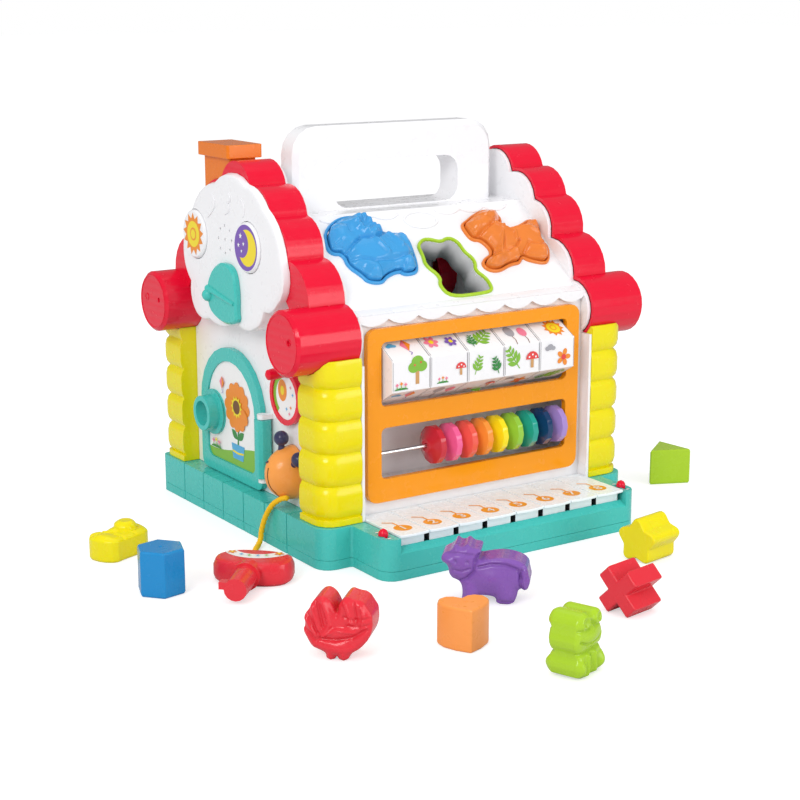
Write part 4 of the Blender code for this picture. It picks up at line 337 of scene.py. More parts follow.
class Ink(Enum):
    """The inks of the printed labels, by their colours, and one dark colour of painted shade."""

    PAPER = (0.90, 0.90, 0.90)
    ORANGE = (0.87, 0.27, 0.02)
    AMBER = (0.90, 0.34, 0.01)
    # painted shade: the dark band at the ends of the picture blocks' faces, for the gaps between blocks
    LINE = (0.16, 0.16, 0.17)
    YELLOW = (0.90, 0.72, 0.02)
    RED = (0.78, 0.05, 0.05)
    PINK = (0.88, 0.22, 0.34)
    GREEN = (0.22, 0.50, 0.04)
    DARK_GREEN = (0.03, 0.26, 0.05)
    BLUE = (0.08, 0.42, 0.72)
    PURPLE = (0.20, 0.10, 0.46)
    BROWN = (0.19, 0.07, 0.02)
    TAN = (0.62, 0.33, 0.12)
    GREY = (0.38, 0.38, 0.42)

    @property
    def finish(self) -> Label:
        """Return the ink as a finish."""
        return Label(f"ink_{self.name.lower()}", self.value)


def around(sides: int) -> np.ndarray:
    """Return the angles of a full turn."""
    return np.linspace(0, 2 * math.pi, sides, endpoint=False)


def spokes(turn: np.ndarray) -> np.ndarray:
    """Return (cos t, sin t) for each angle."""
    return np.stack([np.cos(turn), np.sin(turn)], -1)


def rotated(flat: np.ndarray, degrees: float) -> np.ndarray:
    """Return flat points (n, 2) turned about the origin."""
    cos, sin = math.cos(math.radians(degrees)), math.sin(math.radians(degrees))
    return flat @ np.array([[cos, sin], [-sin, cos]])


def unit(vectors: np.ndarray) -> np.ndarray:
    """Return vectors of length 1 along the last axis."""
    return vectors / np.linalg.norm(vectors, axis=-1, keepdims=True)


def evenly(line: list[Pair], count: int) -> np.ndarray:
    """Return points spread over a line's corners, as many to each of its sides."""
    corners = np.array(line, float)
    t = np.linspace(0, len(corners) - 1, count)
    return np.stack([np.interp(t, np.arange(len(corners)), part) for part in corners.T], 1)


def corners_of(mesh: bpy.types.Mesh) -> np.ndarray:
    """Return a mesh's vertices, (n, 3)."""
    points = np.empty(len(mesh.vertices) * 3)
    mesh.vertices.foreach_get("co", points)
    return points.reshape(-1, 3)


@dataclass(frozen=True)
class Place:
    """A flat place on the house: its origin and the directions of u, v and w."""

    origin: Spot
    u_axis: Spot
    v_axis: Spot

    def axes(self) -> np.ndarray:
        """Return u, v and w = u x v as the rows of an array."""
        u, v = unit(np.array([self.u_axis, self.v_axis], float))
        return np.stack([u, v, np.cross(u, v)])

    def points(self, local: np.ndarray) -> np.ndarray:
        """Return p = o + x u + y v + z w for an array (..., 3)."""
        return np.array(self.origin) + local @ self.axes()

    def local(self, points: np.ndarray) -> np.ndarray:
        """Return the points (..., 3) in u, v and w."""
        return (points - np.array(self.origin)) @ self.axes().T


def standing(stand: Pair, heading: float) -> Place:
    """Return the place of a block that stands: u along its heading, v up, w out of its front."""
    cos, sin = math.cos(math.radians(heading)), math.sin(math.radians(heading))
    return Place((*stand, 0.0), (cos, sin, 0.0), (0.0, 0.0, 1.0))


def lying(stand: Pair, heading: float = 0.0, height: float = 0.0) -> Place:
    """Return the place on top of something flat: u along its heading, w up."""
    cos, sin = math.cos(math.radians(heading)), math.sin(math.radians(heading))
    return Place((*stand, height), (cos, sin, 0.0), (-sin, cos, 0.0))


def facing_left(x: float, y: float, z: float) -> Place:
    """Return the place on the left gable: u to the viewer's right, v up, w out."""
    return Place((x, y, z), (0.0, -1.0, 0.0), (0.0, 0.0, 1.0))


SLOPE = Place((0.0, -0.105, 0.181), (1.0, 0.0, 0.0), (0.0, 0.070, 0.059))


class Outline:
    """Lines in a plane, as arrays (n, 2)."""

    @staticmethod
    def smooth(outline: np.ndarray) -> np.ndarray:
        """Cut each corner of a closed outline at a quarter of its sides."""
        there = np.roll(outline, -1, 0)
        return np.stack([0.75 * outline + 0.25 * there, 0.25 * outline + 0.75 * there], 1).reshape(-1, 2)

    @staticmethod
    def normals(line: np.ndarray, closed: bool = True) -> np.ndarray:
        """Return the unit normal at each point: outwards if closed, else to the right."""
        if not closed:
            along = unit(np.gradient(line, axis=0))
            return np.stack([along[:, 1], -along[:, 0]], 1)
        along = unit(np.roll(line, -1, 0) - np.roll(line, 1, 0))
        x, y = line.T
        side = np.sign(np.sum(x * np.roll(y, -1) - np.roll(x, -1) * y))
        return np.stack([along[:, 1], -along[:, 0]], 1) * side

    @classmethod
    def grown(cls, outline: np.ndarray, distance: float) -> np.ndarray:
        """Return a closed outline moved outwards: p + d n."""
        return outline + cls.normals(outline) * distance

    @staticmethod
    def cap(node: str, place: Place) -> np.ndarray:
        """Return the ring round a node's flat front face, in a place's u and v.

        Args:
            node: The CAD node, a drawn-out block.
            place: The place whose w axis comes out of the block's front face.

        Returns:
            The ring, (n, 2).
        """
        shell = bmesh.new()
        shell.from_mesh(FRAME["nodes"][node].data)
        bmesh.ops.remove_doubles(shell, verts=shell.verts, dist=1e-5)
        bmesh.ops.dissolve_limit(shell, angle_limit=0.01, verts=shell.verts, edges=shell.edges)
        out = Vector(place.axes()[2])
        face = max(shell.faces, key=lambda one: one.normal.dot(out) * one.calc_area())
        ring = np.array([corner.co for corner in face.verts])
        shell.free()
        return place.local(ring)[:, :2]

    @staticmethod
    def circle(radius: float, sides: int = 28, centre: Pair = (0.0, 0.0)) -> np.ndarray:
        """Return c + r (cos t, sin t)."""
        return spokes(around(sides)) * radius + centre

    @staticmethod
    def distance(points: np.ndarray, path: np.ndarray, closed: bool = False) -> np.ndarray:
        """Return each point's distance to a path.

        Args:
            points: The points, (n, 2).
            path: The path's points, (m, 2).
            closed: Whether the path ends where it starts.

        Returns:
            The distances, (n,): min over sides a b of |p - a - t (b - a)|,
            with t = clip((p - a).(b - a) / |b - a|^2, 0, 1).
        """
        ends = np.roll(path, -1, 0) if closed else path[1:]
        nearest = np.full(len(points), np.inf)
        for a, b in zip(path, ends):
            side = b - a
            t = np.clip(((points - a) @ side) / max(side @ side, 1e-18), 0, 1)
            nearest = np.minimum(nearest, np.linalg.norm(points - a - t[:, None] * side, axis=1))
        return nearest


class Builder:
    """Turns arrays into meshes and puts them on their bodies."""

    @staticmethod
    def link(name: str, data: bpy.types.ID) -> Thing:
        """Make an object of some data and put it in the scene."""
        made = bpy.data.objects.new(name, data)
        bpy.context.scene.collection.objects.link(made)
        return made

    @classmethod
    def piece(cls, name: str, points: np.ndarray, faces: list, finish: Finish, body: str = "house") -> Thing:
        """Make a mesh object from points and faces.

        Args:
            name: The piece's name.
            points: Its vertices, (n, 3).
            faces: Its faces, as lists of vertex numbers.
            finish: Its finish.
            body: The body that it rides on, or nothing for a piece that is left on no body.

        Returns:
            The new object.
        """
        mesh = bpy.data.meshes.new(name)
        mesh.from_pydata(points.tolist(), [], faces)
        mesh.validate()
        mesh.materials.append(finish.material())
        made = cls.link(name, mesh)
        if body:
            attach(made, body)
        return made

    @classmethod
    def hose(
        cls, name: str, grid: np.ndarray, finish: Finish, body: str = "house", closed: bool = False,
    ) -> Thing:
        """Make a smooth piece from a row of rings, with its faces turned outwards.

        Args:
            name: The piece's name.
            grid: The points, (rings, points in a ring, 3).
            finish: Its finish.
            body: The body that it rides on.
            closed: Whether the last ring joins the first; else both ends are filled.

        Returns:
            The new object.
        """
        rings, sides = grid.shape[:2]
        i, j = np.meshgrid(np.arange(rings if closed else rings - 1), np.arange(sides), indexing="ij")
        k, m = (i + 1) % rings, (j + 1) % sides
        quads = [i * sides + j, i * sides + m, k * sides + m, k * sides + j]
        faces = np.stack(quads, -1).reshape(-1, 4).tolist()
        if not closed:
            faces.append(list(range(sides))[::-1])
            faces.append(list(range((rings - 1) * sides, rings * sides)))
        made = cls.piece(name, grid.reshape(-1, 3), faces, finish, body)
        made.data.shade_smooth()
        cls.outward(made)
        return made

    @classmethod
    def sweep(
        cls, name: str, line: np.ndarray, section: np.ndarray, place: Place, finish: Finish,
        body: str = "house", closed: bool = True,
    ) -> Thing:
        """Carry a section along a line: p = line + out n, raised by up.

        Args:
            name: The piece's name.
            line: The line in the place's u and v, (n, 2).
            section: Rows of out and up, (m, 2).
            place: The surface it lies on.
            finish: Its finish.
            body: The body that it rides on.
            closed: Whether the line closes.

        Returns:
            The new object.
        """
        flat = line[:, None] + Outline.normals(line, closed)[:, None] * section[None, :, :1]
        lift = np.broadcast_to(section[:, 1], flat.shape[:2])
        return cls.hose(name, place.points(np.dstack([flat, lift])), finish, body, closed)

    @staticmethod
    def outward(made: Thing) -> None:
        """Merge doubled points and turn every face of a closed piece outwards."""
        shell = bmesh.new()
        shell.from_mesh(made.data)
        bmesh.ops.remove_doubles(shell, verts=shell.verts, dist=1e-7)
        bmesh.ops.recalc_face_normals(shell, faces=shell.faces)
        shell.to_mesh(made.data)
        shell.free()

    @staticmethod
    def paint(node: str, finish: Finish) -> Thing:
        """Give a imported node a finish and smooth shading."""
        thing = FRAME["nodes"][node]
        thing.data.materials.clear()
        thing.data.materials.append(finish.material())
        thing.data.shade_smooth()
        return thing


@dataclass
class Studio:
    """The pale floor, the soft lamps and the camera at the photograph's angle."""

    azimuth: float = -33.72
    elevation: float = 13.49
    distance: float = 1.36977
    lens: float = 76.42
    sensor: float = 36.0
    clip: Pair = (0.05, 60.0)
    target: Spot = (0.01065, 0.0, 0.08082)
    lit: Spot = (0.0, 0.0, 0.1)
    floor_size: float = 30.0
    floor_colour: RGB = (0.66, 0.66, 0.67)
    floor_glow: float = 0.52
    sky: Pair = (0.85, 1.0)
    mirrored: float = -0.60
    lamps: list = field(default_factory=lambda: [
        ("lamp_key", (-1.80, -1.15, 1.35), 1.0, 19.0),
        ("lamp_fill", (0.9, -2.2, 0.7), 1.4, 14.0),
        ("lamp_top", (0.1, 0.3, 2.3), 1.6, 4.0),
    ])

    @staticmethod
    def aim(name: str, data: bpy.types.ID, spot: Vector, ahead: Vector) -> Thing:
        """Put a lamp or a camera at a spot, looking ahead."""
        made = Builder.link(name, data)
        made.location = spot
        made.rotation_mode = "QUATERNION"
        made.rotation_quaternion = ahead.to_track_quat("-Z", "Y")
        return made

    def camera(self) -> None:
        """Place the camera: back = (sin a cos e, -cos a cos e, sin e)."""
        a, e = math.radians(self.azimuth), math.radians(self.elevation)
        back = Vector((math.sin(a) * math.cos(e), -math.cos(a) * math.cos(e), math.sin(e)))
        data = bpy.data.cameras.new("camera")
        data.lens = self.lens
        data.sensor_width = self.sensor
        data.clip_start, data.clip_end = self.clip
        bpy.context.scene.camera = self.aim("camera", data, Vector(self.target) + back * self.distance, -back)

    def light(self) -> None:
        """Set soft lamps that all look at the house."""
        for name, spot, size, power in self.lamps:
            data = bpy.data.lights.new(name, "AREA")
            data.shape = "DISK"
            data.size = size
            data.energy = power
            self.aim(name, data, Vector(spot), Vector(self.lit) - Vector(spot))

    def world(self) -> None:
        """Make a world that lights softly, looks white to the camera and dim in reflections."""
        made = bpy.data.worlds.new("studio")
        bpy.context.scene.world = made
        made.use_nodes = True
        graph = Graph(made.node_tree)
        back = made.node_tree.nodes["Background"]
        graph.dial(back, Color=(1.0, 1.0, 1.0, 1.0))
        rays = graph.add("ShaderNodeLightPath").outputs
        seen = graph.maths("MAXIMUM", rays["Is Camera Ray"], rays["Is Transmission Ray"])
        level = graph.spread(seen, *self.sky, 0.0, 1.0)
        dimmed = graph.maths("MULTIPLY_ADD", rays["Is Glossy Ray"], self.mirrored, level)
        graph.link(dimmed, back.inputs["Strength"])

    def floor(self) -> None:
        """Lay the white floor, which the camera sees a little brighter."""
        half = self.floor_size / 2
        mesh = bpy.data.meshes.new("floor")
        corners = [(-half, -half, 0), (half, -half, 0), (half, half, 0), (-half, half, 0)]
        mesh.from_pydata(corners, [], [(0, 1, 2, 3)])
        made = Builder.link("floor", mesh)
        paint = bpy.data.materials.new("floor_paint")
        paint.use_nodes = True
        graph = Graph(paint.node_tree)
        graph.dial(graph.shader, Base_Color=(*self.floor_colour, 1.0), Roughness=0.6,
                   Specular_IOR_Level=0.2, Emission_Color=(1.0, 1.0, 1.0, 1.0))
        seen = graph.add("ShaderNodeLightPath").outputs["Is Camera Ray"]
        level = graph.maths("MULTIPLY", seen, self.floor_glow)
        graph.link(level, graph.shader.inputs["Emission Strength"])
        mesh.materials.append(paint)

    def build(self) -> None:
        """Set the whole stage."""
        bpy.context.scene.view_settings.view_transform = "Standard"
        self.world()
        self.floor()
        self.light()
        self.camera()
        LOG.info("studio set")


@dataclass
class Mouldings:
    """The nodes that need no more than soft edges, in mm, and their plastic."""

    rows: tuple = (
        (TEAL, 0.9, "base_tray"), (TEAL, 0.6, "bottom_cover", "door"), (TEAL, 0.5, "battery_cover"),
        (TEAL, 0.4, "lock_barrel"), (TEAL, 0.7, "leaf_knob"), (WHITE, 0.6, "roof_shell"),
        # the sound unit takes the near-black painted shade of the speaker holes
        (WHITE, 0.5, "house_shell", "sun_button", "moon_button"), (SPEAKER_HOLE_SHADE, 0.5, "sound_unit"),
        (GREY, 0.5, "picture_shaft"), (BRICK, 1.6, "chimney"), (ORANGE, 0.8, "window_frame"),
        (RED, 0.5, "dial_ring"), (RED, 0.4, "switch_left", "switch_right"), (BLOCK_RED, 0.8, "toy_key"),
        (BLOCK_RED, 0.7, "block_cross"), (PEACH, 0.7, "block_heart"), (DEEP_BLUE, 0.7, "block_hexagon"),
        (LIME, 0.7, "block_triangle"), (YELLOW, 0.7, "block_star"),
        (KEYS, 0.4, *(f"key_{i + 1}" for i in range(KEY_COUNT))),
        (WHITE, 0.4, *(f"picture_block_{i + 1}" for i in range(BLOCK_COUNT))),
    )
    columns: tuple = tuple(f"column_{end}_{side}" for end in ("front", "rear") for side in ("left", "right"))
    flat: float = 0.8
    merge: float = 1e-5
    segments: int = 3
    weight: int = 60

    def dress(self, node: str, finish: Finish, edge: float, angle: float = 30.0) -> None:
        """Weld the node's loose triangles, flatten, round its edges and paint it.

        Args:
            node: The CAD node.
            finish: Its finish.
            edge: The width of the rounding, mm.
            angle: Edges that turn by less, in degrees, are left smooth.
        """
        thing = Builder.paint(node, finish)
        thing.modifiers.new("weld", "WELD").merge_threshold = self.merge
        flat = thing.modifiers.new("flat_faces", "DECIMATE")
        flat.decimate_type = "DISSOLVE"
        flat.angle_limit = math.radians(self.flat)
        soft = thing.modifiers.new("soft_edges", "BEVEL")
        soft.width = edge * MM
        soft.segments = self.segments
        soft.limit_method = "ANGLE"
        soft.angle_limit = math.radians(angle)
        even = thing.modifiers.new("even_shading", "WEIGHTED_NORMAL")
        even.weight = self.weight

    def build(self) -> None:
        """Dress them all."""
        for finish, edge, *nodes in self.rows:
            for node in nodes:
                self.dress(node, finish, edge)
        for node in self.columns:
            self.dress(node, YELLOW, 0.9, 40.0)
        for node in ("verge_left", "verge_right"):
            self.dress(node, LOBES, 1.1, 34.0)
        for i, finish in enumerate(BEADS):
            self.dress(f"bead_{i + 1}", finish, 0.25)
        Builder.paint("bead_rod", STEEL)
        LOG.info("mouldings dressed")


@dataclass
class TwistedCord:
    """The yellow cord: three strands laid round each other."""

    diameter: float = 4.3 * MM
    lay: float = 11.0 * MM
    strands: int = 3
    around: int = 24
    fine: float = 0.6 * MM
    coarse: int = 6
    groove: float = 0.24
    route: tuple = (
        (-0.1380, -0.0745, 0.0420), (-0.1395, -0.0675, 0.0395), (-0.1425, -0.0600, 0.0335),
        (-0.1445, -0.0535, 0.0235), (-0.1460, -0.0500, 0.0130), (-0.1472, -0.0500, 0.0060),
        (-0.1510, -0.0530, 0.0025), (-0.1570, -0.0600, 0.0023), (-0.1620, -0.0680, 0.0023),
        (-0.1660, -0.0770, 0.0030), (-0.1695, -0.0850, 0.0060), (-0.1740, -0.0905, 0.0085),
        (-0.1788, -0.0956, 0.0098),
    )

    def path(self) -> np.ndarray:
        """Return points a fine step apart on a smooth curve through the route.

        Each span is 1/2 (2 b + (c - a) t + (2 a - 5 b + 4 c - d) t^2
        + (3 b - a - 3 c + d) t^3).

        Returns:
            The points, (n, 3).
        """
        p = np.array(self.route)
        ends = np.vstack([2 * p[0] - p[1], p, 2 * p[-1] - p[-2]])
        spans = []
        for a, b, c, d in zip(ends, ends[1:], ends[2:], ends[3:]):
            count = max(4, round(float(np.linalg.norm(c - b)) / self.fine))
            t = (np.arange(count) / count)[:, None]
            curve = 2 * b + (c - a) * t + (2 * a - 5 * b + 4 * c - d) * t**2 + (3 * b - a - 3 * c + d) * t**3
            spans.append(curve / 2)
        return np.vstack([*spans, p[-1:]])

    def tube(self, path: np.ndarray) -> np.ndarray:
        """Carry a three-lobed section along the path, turning as it goes.

        The section's radius is R (1 - g (1 - |cos(n (a - 2 pi s / l) / 2)|)), with
        s the way along the cord, l the lay, n the strands and g the groove.

        Args:
            path: The cord's middle line.

        Returns:
            The grid of points, (n, around, 3).
        """
        ahead = unit(np.gradient(path, axis=0))
        side = unit(np.cross(ahead, (0.0, 0.35, 1.0)))
        up = np.cross(side, ahead)
        along = np.concatenate([[0], np.cumsum(np.linalg.norm(np.diff(path, axis=0), axis=1))])
        turn = around(self.around)
        phase = self.strands * (turn - 2 * math.pi * along[:, None] / self.lay) / 2
        radius = self.diameter / 2 * (1 - self.groove * (1 - np.abs(np.cos(phase))))
        ring = np.cos(turn)[:, None] * side[:, None] + np.sin(turn)[:, None] * up[:, None]
        return path[:, None] + radius[..., None] * ring

    def build(self) -> None:
        """Make the cord in place of its plain solid."""
        path = self.path()
        made = Builder.hose("twisted_cord", self.tube(path), FIBRES, "")
        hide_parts("cord")
        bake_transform(made)


@dataclass(frozen=True)
class Stroke:
    """A ridge or a groove of a relief: its width and height in mm, and its line in hundredths."""

    width: float
    height: float
    line: tuple[float, ...]

    def height_at(self, shares: np.ndarray, size: np.ndarray) -> np.ndarray:
        """Return h exp(-(d / w)^2), with d the distance to the line.

        Args:
            shares: The points in shares, (n, 2).
            size: The block's width and height scale, metres.

        Returns:
            The heights, (n,), metres.
        """
        path = np.array(self.line).reshape(-1, 2) / 100 * size
        away = Outline.distance(shares * size, path) / (self.width * MM)
        return self.height * MM * np.exp(-(away**2))


@dataclass(frozen=True)
class Mound:
    """A swelling or a dip: its middle and reach in hundredths, its height in mm and its turn."""

    x: float
    y: float
    wide: float
    high: float
    height: float
    turn: float = 0.0

    def polar(self, shares: np.ndarray) -> tuple[np.ndarray, np.ndarray]:
        """Return the radius (1 on the oval's rim) and the angle of each point."""
        middle, reach = np.array([(self.x, self.y), (self.wide, self.high)]) / 100
        turned = rotated(shares - middle, -self.turn) / reach
        return np.linalg.norm(turned, axis=1), np.arctan2(turned[:, 1], turned[:, 0])

    def height_at(self, shares: np.ndarray, size: np.ndarray) -> np.ndarray:
        """Return h (1 - r^2)^2 inside the oval and 0 outside."""
        radius, _ = self.polar(shares)
        return self.height * MM * np.clip(1 - radius**2, 0, 1) ** 2


@dataclass(frozen=True)
class Coil(Mound):
    """A coiled horn or an eye: a ring swelling round its middle, ribbed across."""

    ribs: int = 0

    def height_at(self, shares: np.ndarray, size: np.ndarray) -> np.ndarray:
        """Return h exp(-((r - 0.68) / 0.30)^2) (0.85 + 0.15 cos(n a)), with n the ribs."""
        radius, angle = self.polar(shares)
        ring = np.exp(-(((radius - 0.68) / 0.30) ** 2))
        return self.height * MM * ring * (0.85 + 0.15 * np.cos(self.ribs * angle))


@dataclass(frozen=True)
class AnimalBlock:
    """An animal block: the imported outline, remeshed finely and modelled on its faces."""

    node: str
    finish: Finish
    place: Place
    centre: Pair
    size: Pair
    faces: Pair
    shoulder: float
    dome: float
    relief: tuple[Stroke | Mound, ...]
    both: bool = True
    lift: float = 0.0
    deepen: float = 1.0
    voxel: float = 0.6
    evening: int = 6

    def remeshed(self) -> Thing:
        """Return a copy of the node, merged, remeshed in small cells and smoothed."""
        mesh = FRAME["nodes"][self.node].data.copy()
        made = Builder.link(f"{self.node}_modelled", mesh)
        mesh.materials.clear()
        Builder.outward(made)
        cells = made.modifiers.new("cells", "REMESH")
        cells.mode = "VOXEL"
        cells.voxel_size = self.voxel * MM
        made.modifiers.new("even", "SMOOTH").iterations = self.evening
        bpy.context.view_layer.update()
        fine = bpy.data.meshes.new_from_object(made.evaluated_get(bpy.context.evaluated_depsgraph_get()))
        made.modifiers.clear()
        made.data = fine
        return made

    def build(self) -> None:
        """Model the block.

        With t the place between the faces, -1 to 1, and m and k the middle and
        half of the depth, w = m + t (k + h), where h is the relief's height, the
        lift and, over the shoulder, the fall (l + d) (1 - s)^2 of lift and dome.
        """
        ring = Outline.cap(self.node, self.place)
        made = self.remeshed()
        local = self.place.local(corners_of(made.data))
        flat = local[:, :2]
        away = Outline.distance(flat, ring, closed=True) / (self.shoulder * MM)
        height = self.lift * MM - (self.lift + self.dome) * MM * (1 - np.clip(away, 0, 1)) ** 2
        size = np.array(self.size)
        shares = (flat - self.centre) / size
        for part in self.relief:
            height = height + self.deepen * part.height_at(shares, size)
        low, high = self.faces
        middle, half = (low + high) / 2, (high - low) / 2
        t = (local[:, 2] - middle) / half
        height = height if self.both else np.where(t > 0, height, 0.0)
        local[:, 2] = middle + t * (half + height)
        made.data.vertices.foreach_set("co", self.place.points(local).reshape(-1))
        made.data.materials.clear()
        made.data.materials.append(self.finish.material())
        made.data.shade_smooth()
        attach(made, self.node)
        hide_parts(self.node)
        self.finish.slot
        LOG.info("%s modelled, %d faces", self.node, len(made.data.polygons))


class AnimalBlocks:
    """The six animal blocks with what is modelled on them."""

    @staticmethod
    def sheep() -> AnimalBlock:
        """The blue sheep: a coiled horn, a long face, wavy wool, legs and a tail."""
        return AnimalBlock(
            "block_sheep", BLUE, SLOPE, (-0.0574, 0.0545), (0.0747, 0.0747), (-0.0205, 0.0075), 9.0, 3.4, (
                Mound(-35, 18, 20, 26, 1.6, 20), Coil(0, 22, 16.5, 16.5, 3.4, 0, 9),
                Stroke(1.3, -1.5, (-43, -10, -24, 0, -14, 6, 0, 2, 16, 10)),
                Stroke(1.2, -0.8, (-30, 38, -20, 26, -22, 16)), Stroke(1.4, 0.8, (-46, 24, -36, 20, -30, 30)),
                Mound(-34.5, 23.5, 3.5, 3.5, -1.0), Stroke(0.8, -0.7, (-46, 3, -38, 6)),
                Mound(8, -6, 42, 26, 2.0, -12), Stroke(2.0, 1.3, (-2, 5, 0, -6, 5, -17)),
                Stroke(2.0, 1.3, (18, 8, 20, -1, 25, -10)), Stroke(1.8, 1.1, (34, 8, 35, -4, 39, -14)),
                Stroke(1.3, -1.1, (-31, -15, -10, -24, 12, -23, 30, -20, 44, -14)),
                Mound(-16, -36, 12, 13, 2.2, 20), Mound(28, -30, 13, 12, 1.6),
                Stroke(1.3, 0.9, (44, 16, 43, 4, 46, -5)),
            ), lift=2.6, deepen=1.7,
        )

    @staticmethod
    def dog() -> AnimalBlock:
        """The orange dog: a bent neck, two creases, folded legs and a curled tail."""
        return AnimalBlock(
            "block_dog", BLOCK_ORANGE, SLOPE, (0.066, 0.052), (0.0755, 0.0755), (-0.0205, 0.0075), 8.0, 3.4, (
                Mound(-20, 22, 24, 19, 2.2, 25), Mound(-40, 13, 12, 14, 1.4),
                Stroke(1.2, 1.4, (-30, 30, -22, 20, -15, 12, -6, 7)),
                Stroke(1.3, -1.5, (-36, 4, -22, 10, -8, 18, 3, 22)),
                Mound(-33.5, 20, 3.5, 3.5, -1.0), Stroke(0.8, -0.8, (-46, 9, -38, 8)),
                Stroke(1.3, 1.4, (-7, 6, 2, -3, 0, -12)), Stroke(1.3, 1.3, (-6, 4, -16, -8, -24, -24)),
                Stroke(1.0, -1.0, (-2, 10, -10, -2, -20, -20)), Mound(18, -2, 26, 16, 2.2, -14),
                Stroke(1.5, 1.1, (4, 4, 16, 2, 31, -8)), Mound(-36, -34, 18, 10, 2.2, 20),
                Mound(-7, -27, 11, 12, 2.2, 35), Stroke(1.1, -1.2, (-28, -20, -16, -24, -4, -20, 4, -12)),
                Stroke(1.2, -1.1, (6, -24, 14, -16, 24, -22, 42, -18)),
                Mound(26, -28, 17, 13, 2.0, -20), Coil(43, 15, 10, 10, 1.6),
            ), lift=2.4, deepen=1.6,
        )

    @staticmethod
    def frog() -> AnimalBlock:
        """The lime frog: two ringed eyes, a wide mouth, forelegs and haunches."""
        size = FROG_WIDTH * FROG_SHARE
        place = standing(FROG_SPOT, FROG_HEADING)
        foot = float(Outline.cap("block_frog", place)[:, 1].min())
        return AnimalBlock(
            "block_frog", LIME, place, (0.0, 0.599 * size + foot), (size, size), (-0.0215, 0.0), 3.5, 1.2, (
                Coil(-23, 43, 16, 16, 1.0), Coil(23, 43, 15, 15, 1.0), Mound(0, 12, 46, 22, 1.6),
                Stroke(0.9, -0.9, (-40, 30, -10, 29, 0, 40, 12, 29, 38, 28)),
                Stroke(0.7, -1.1, (-36, 10, -18, 2, 0, 0, 20, 3, 38, 12)),
                Stroke(1.2, -1.4, (-38, -14, -10, -13, 14, -13, 38, -12)),
                Stroke(1.5, 1.3, (-11, -22, -10, -40, -13, -56)),
                Stroke(1.5, 1.3, (13, -22, 12, -40, 15, -56)),
                Stroke(0.9, -1.0, (0, -22, 0, -58)),
                Mound(-33, -40, 17, 24, 2.0, 15), Mound(35, -42, 16, 22, 2.0, -15),
            ), deepen=1.5,
        )

    @staticmethod
    def cow() -> AnimalBlock:
        """The purple cow: a square head with horns, a long back, haunch and tail."""
        return AnimalBlock(
            "block_cow", PURPLE, standing((-0.0826, -0.2424), -42.0), (0.0, 0.0), (0.0605, 0.0605 * 0.86),
            (-0.025, 0.0), 4.0, 1.8, (
                Mound(-28, 55, 22, 22, 1.8, 30), Mound(-42, 57, 9, 8, 1.0),
                Stroke(1.1, -1.5, (-8, 66, -12, 55, -13, 44, -20, 35, -28, 30)),
                Stroke(0.9, -0.9, (-45, 66, -30, 68, -14, 66)),
                Stroke(1.0, -0.9, (-36, 46, -26, 44, -17, 48)),
                Mound(-33, 58, 3.5, 4, -0.9), Mound(-20, 57, 3.5, 4, -0.9),
                Stroke(0.9, -1.3, (-8, 50, 6, 54.5, 22, 54.5, 36, 49, 40, 36)),
                Stroke(1.3, 0.9, (-6, 55, 8, 60, 24, 60, 40, 54)), Mound(10, 34, 30, 20, 2.0),
                Mound(22, 16, 14, 18, 1.6), Mound(-18, 14, 12, 18, 1.4), Stroke(0.9, -0.8, (10, 5, 30, 5)),
                Stroke(1.0, 0.9, (45, 50, 43, 36, 45, 24)), Stroke(0.9, -1.2, (40, 48, 38, 34, 40, 22)),
            ), deepen=1.3,
        )

    @staticmethod
    def rooster() -> AnimalBlock:
        """The red rooster: fanned tail feathers, a leaf-shaped wing, comb and feet."""
        return AnimalBlock(
            "block_rooster", BLOCK_RED, standing((-0.2174, -0.2718), -46.0), (0.0, 0.0),
            (0.0443, 0.0443 * 0.935), (-0.024, 0.0), 3.0, 1.2, (
                Stroke(1.5, 1.8, (-20, 92, -14, 74, -10, 56, -20, 42)),
                Stroke(1.2, 1.3, (-36, 82, -30, 64, -26, 48)), Stroke(1.0, 1.1, (-45, 62, -38, 50, -30, 38)),
                Stroke(0.9, -1.3, (-28, 90, -24, 70, -20, 52)),
                Stroke(0.9, -1.1, (-42, 70, -34, 56, -28, 42)),
                Stroke(0.9, -1.0, (-46, 48, -38, 40, -30, 30)), Mound(2, 44, 26, 12, 2.4, 12),
                Stroke(0.9, 1.1, (-22, 38, 0, 50, 24, 47)),
                Stroke(1.1, -1.6, (-24, 33, -2, 33, 22, 38, 42, 52)),
                Mound(0, 20, 34, 14, 1.8), Stroke(1.2, 1.5, (10, 94, 16, 78, 20, 62)),
                Stroke(0.9, -1.2, (24, 92, 27, 76, 28, 60)), Stroke(1.0, 1.2, (34, 88, 38, 72, 36, 56)),
                Stroke(0.8, -1.0, (10, 70, 24, 66, 44, 70)), Stroke(0.8, -1.0, (14, 56, 30, 56, 46, 60)),
                Stroke(0.9, 0.8, (-12, 10, -10, 0)), Stroke(0.9, 0.8, (8, 10, 8, 0)),
            ),
        )

    @staticmethod
    def duck() -> AnimalBlock:
        """The yellow duck on its side: a crease round the wing and one along the neck."""
        return AnimalBlock(
            "block_duck", YELLOW, lying((-0.2426, -0.0096)), (0.0, 0.0), (0.0467, 0.0467),
            (0.0, 0.018), 4.0, 1.6, (
                Coil(17, 12, 27, 27, 0.8), Stroke(1.1, -1.3, (-22, 16, -12, -5, -4, -26)),
                Mound(-30, -8, 18, 24, 1.3), Stroke(0.9, -0.9, (-12, 10, 0, -6, 20, -16)),
            ), both=False,
        )

    def build(self) -> None:
        """Model all six."""
        for block in (self.sheep(), self.dog(), self.frog(), self.cow(), self.rooster(), self.duck()):
            block.build()


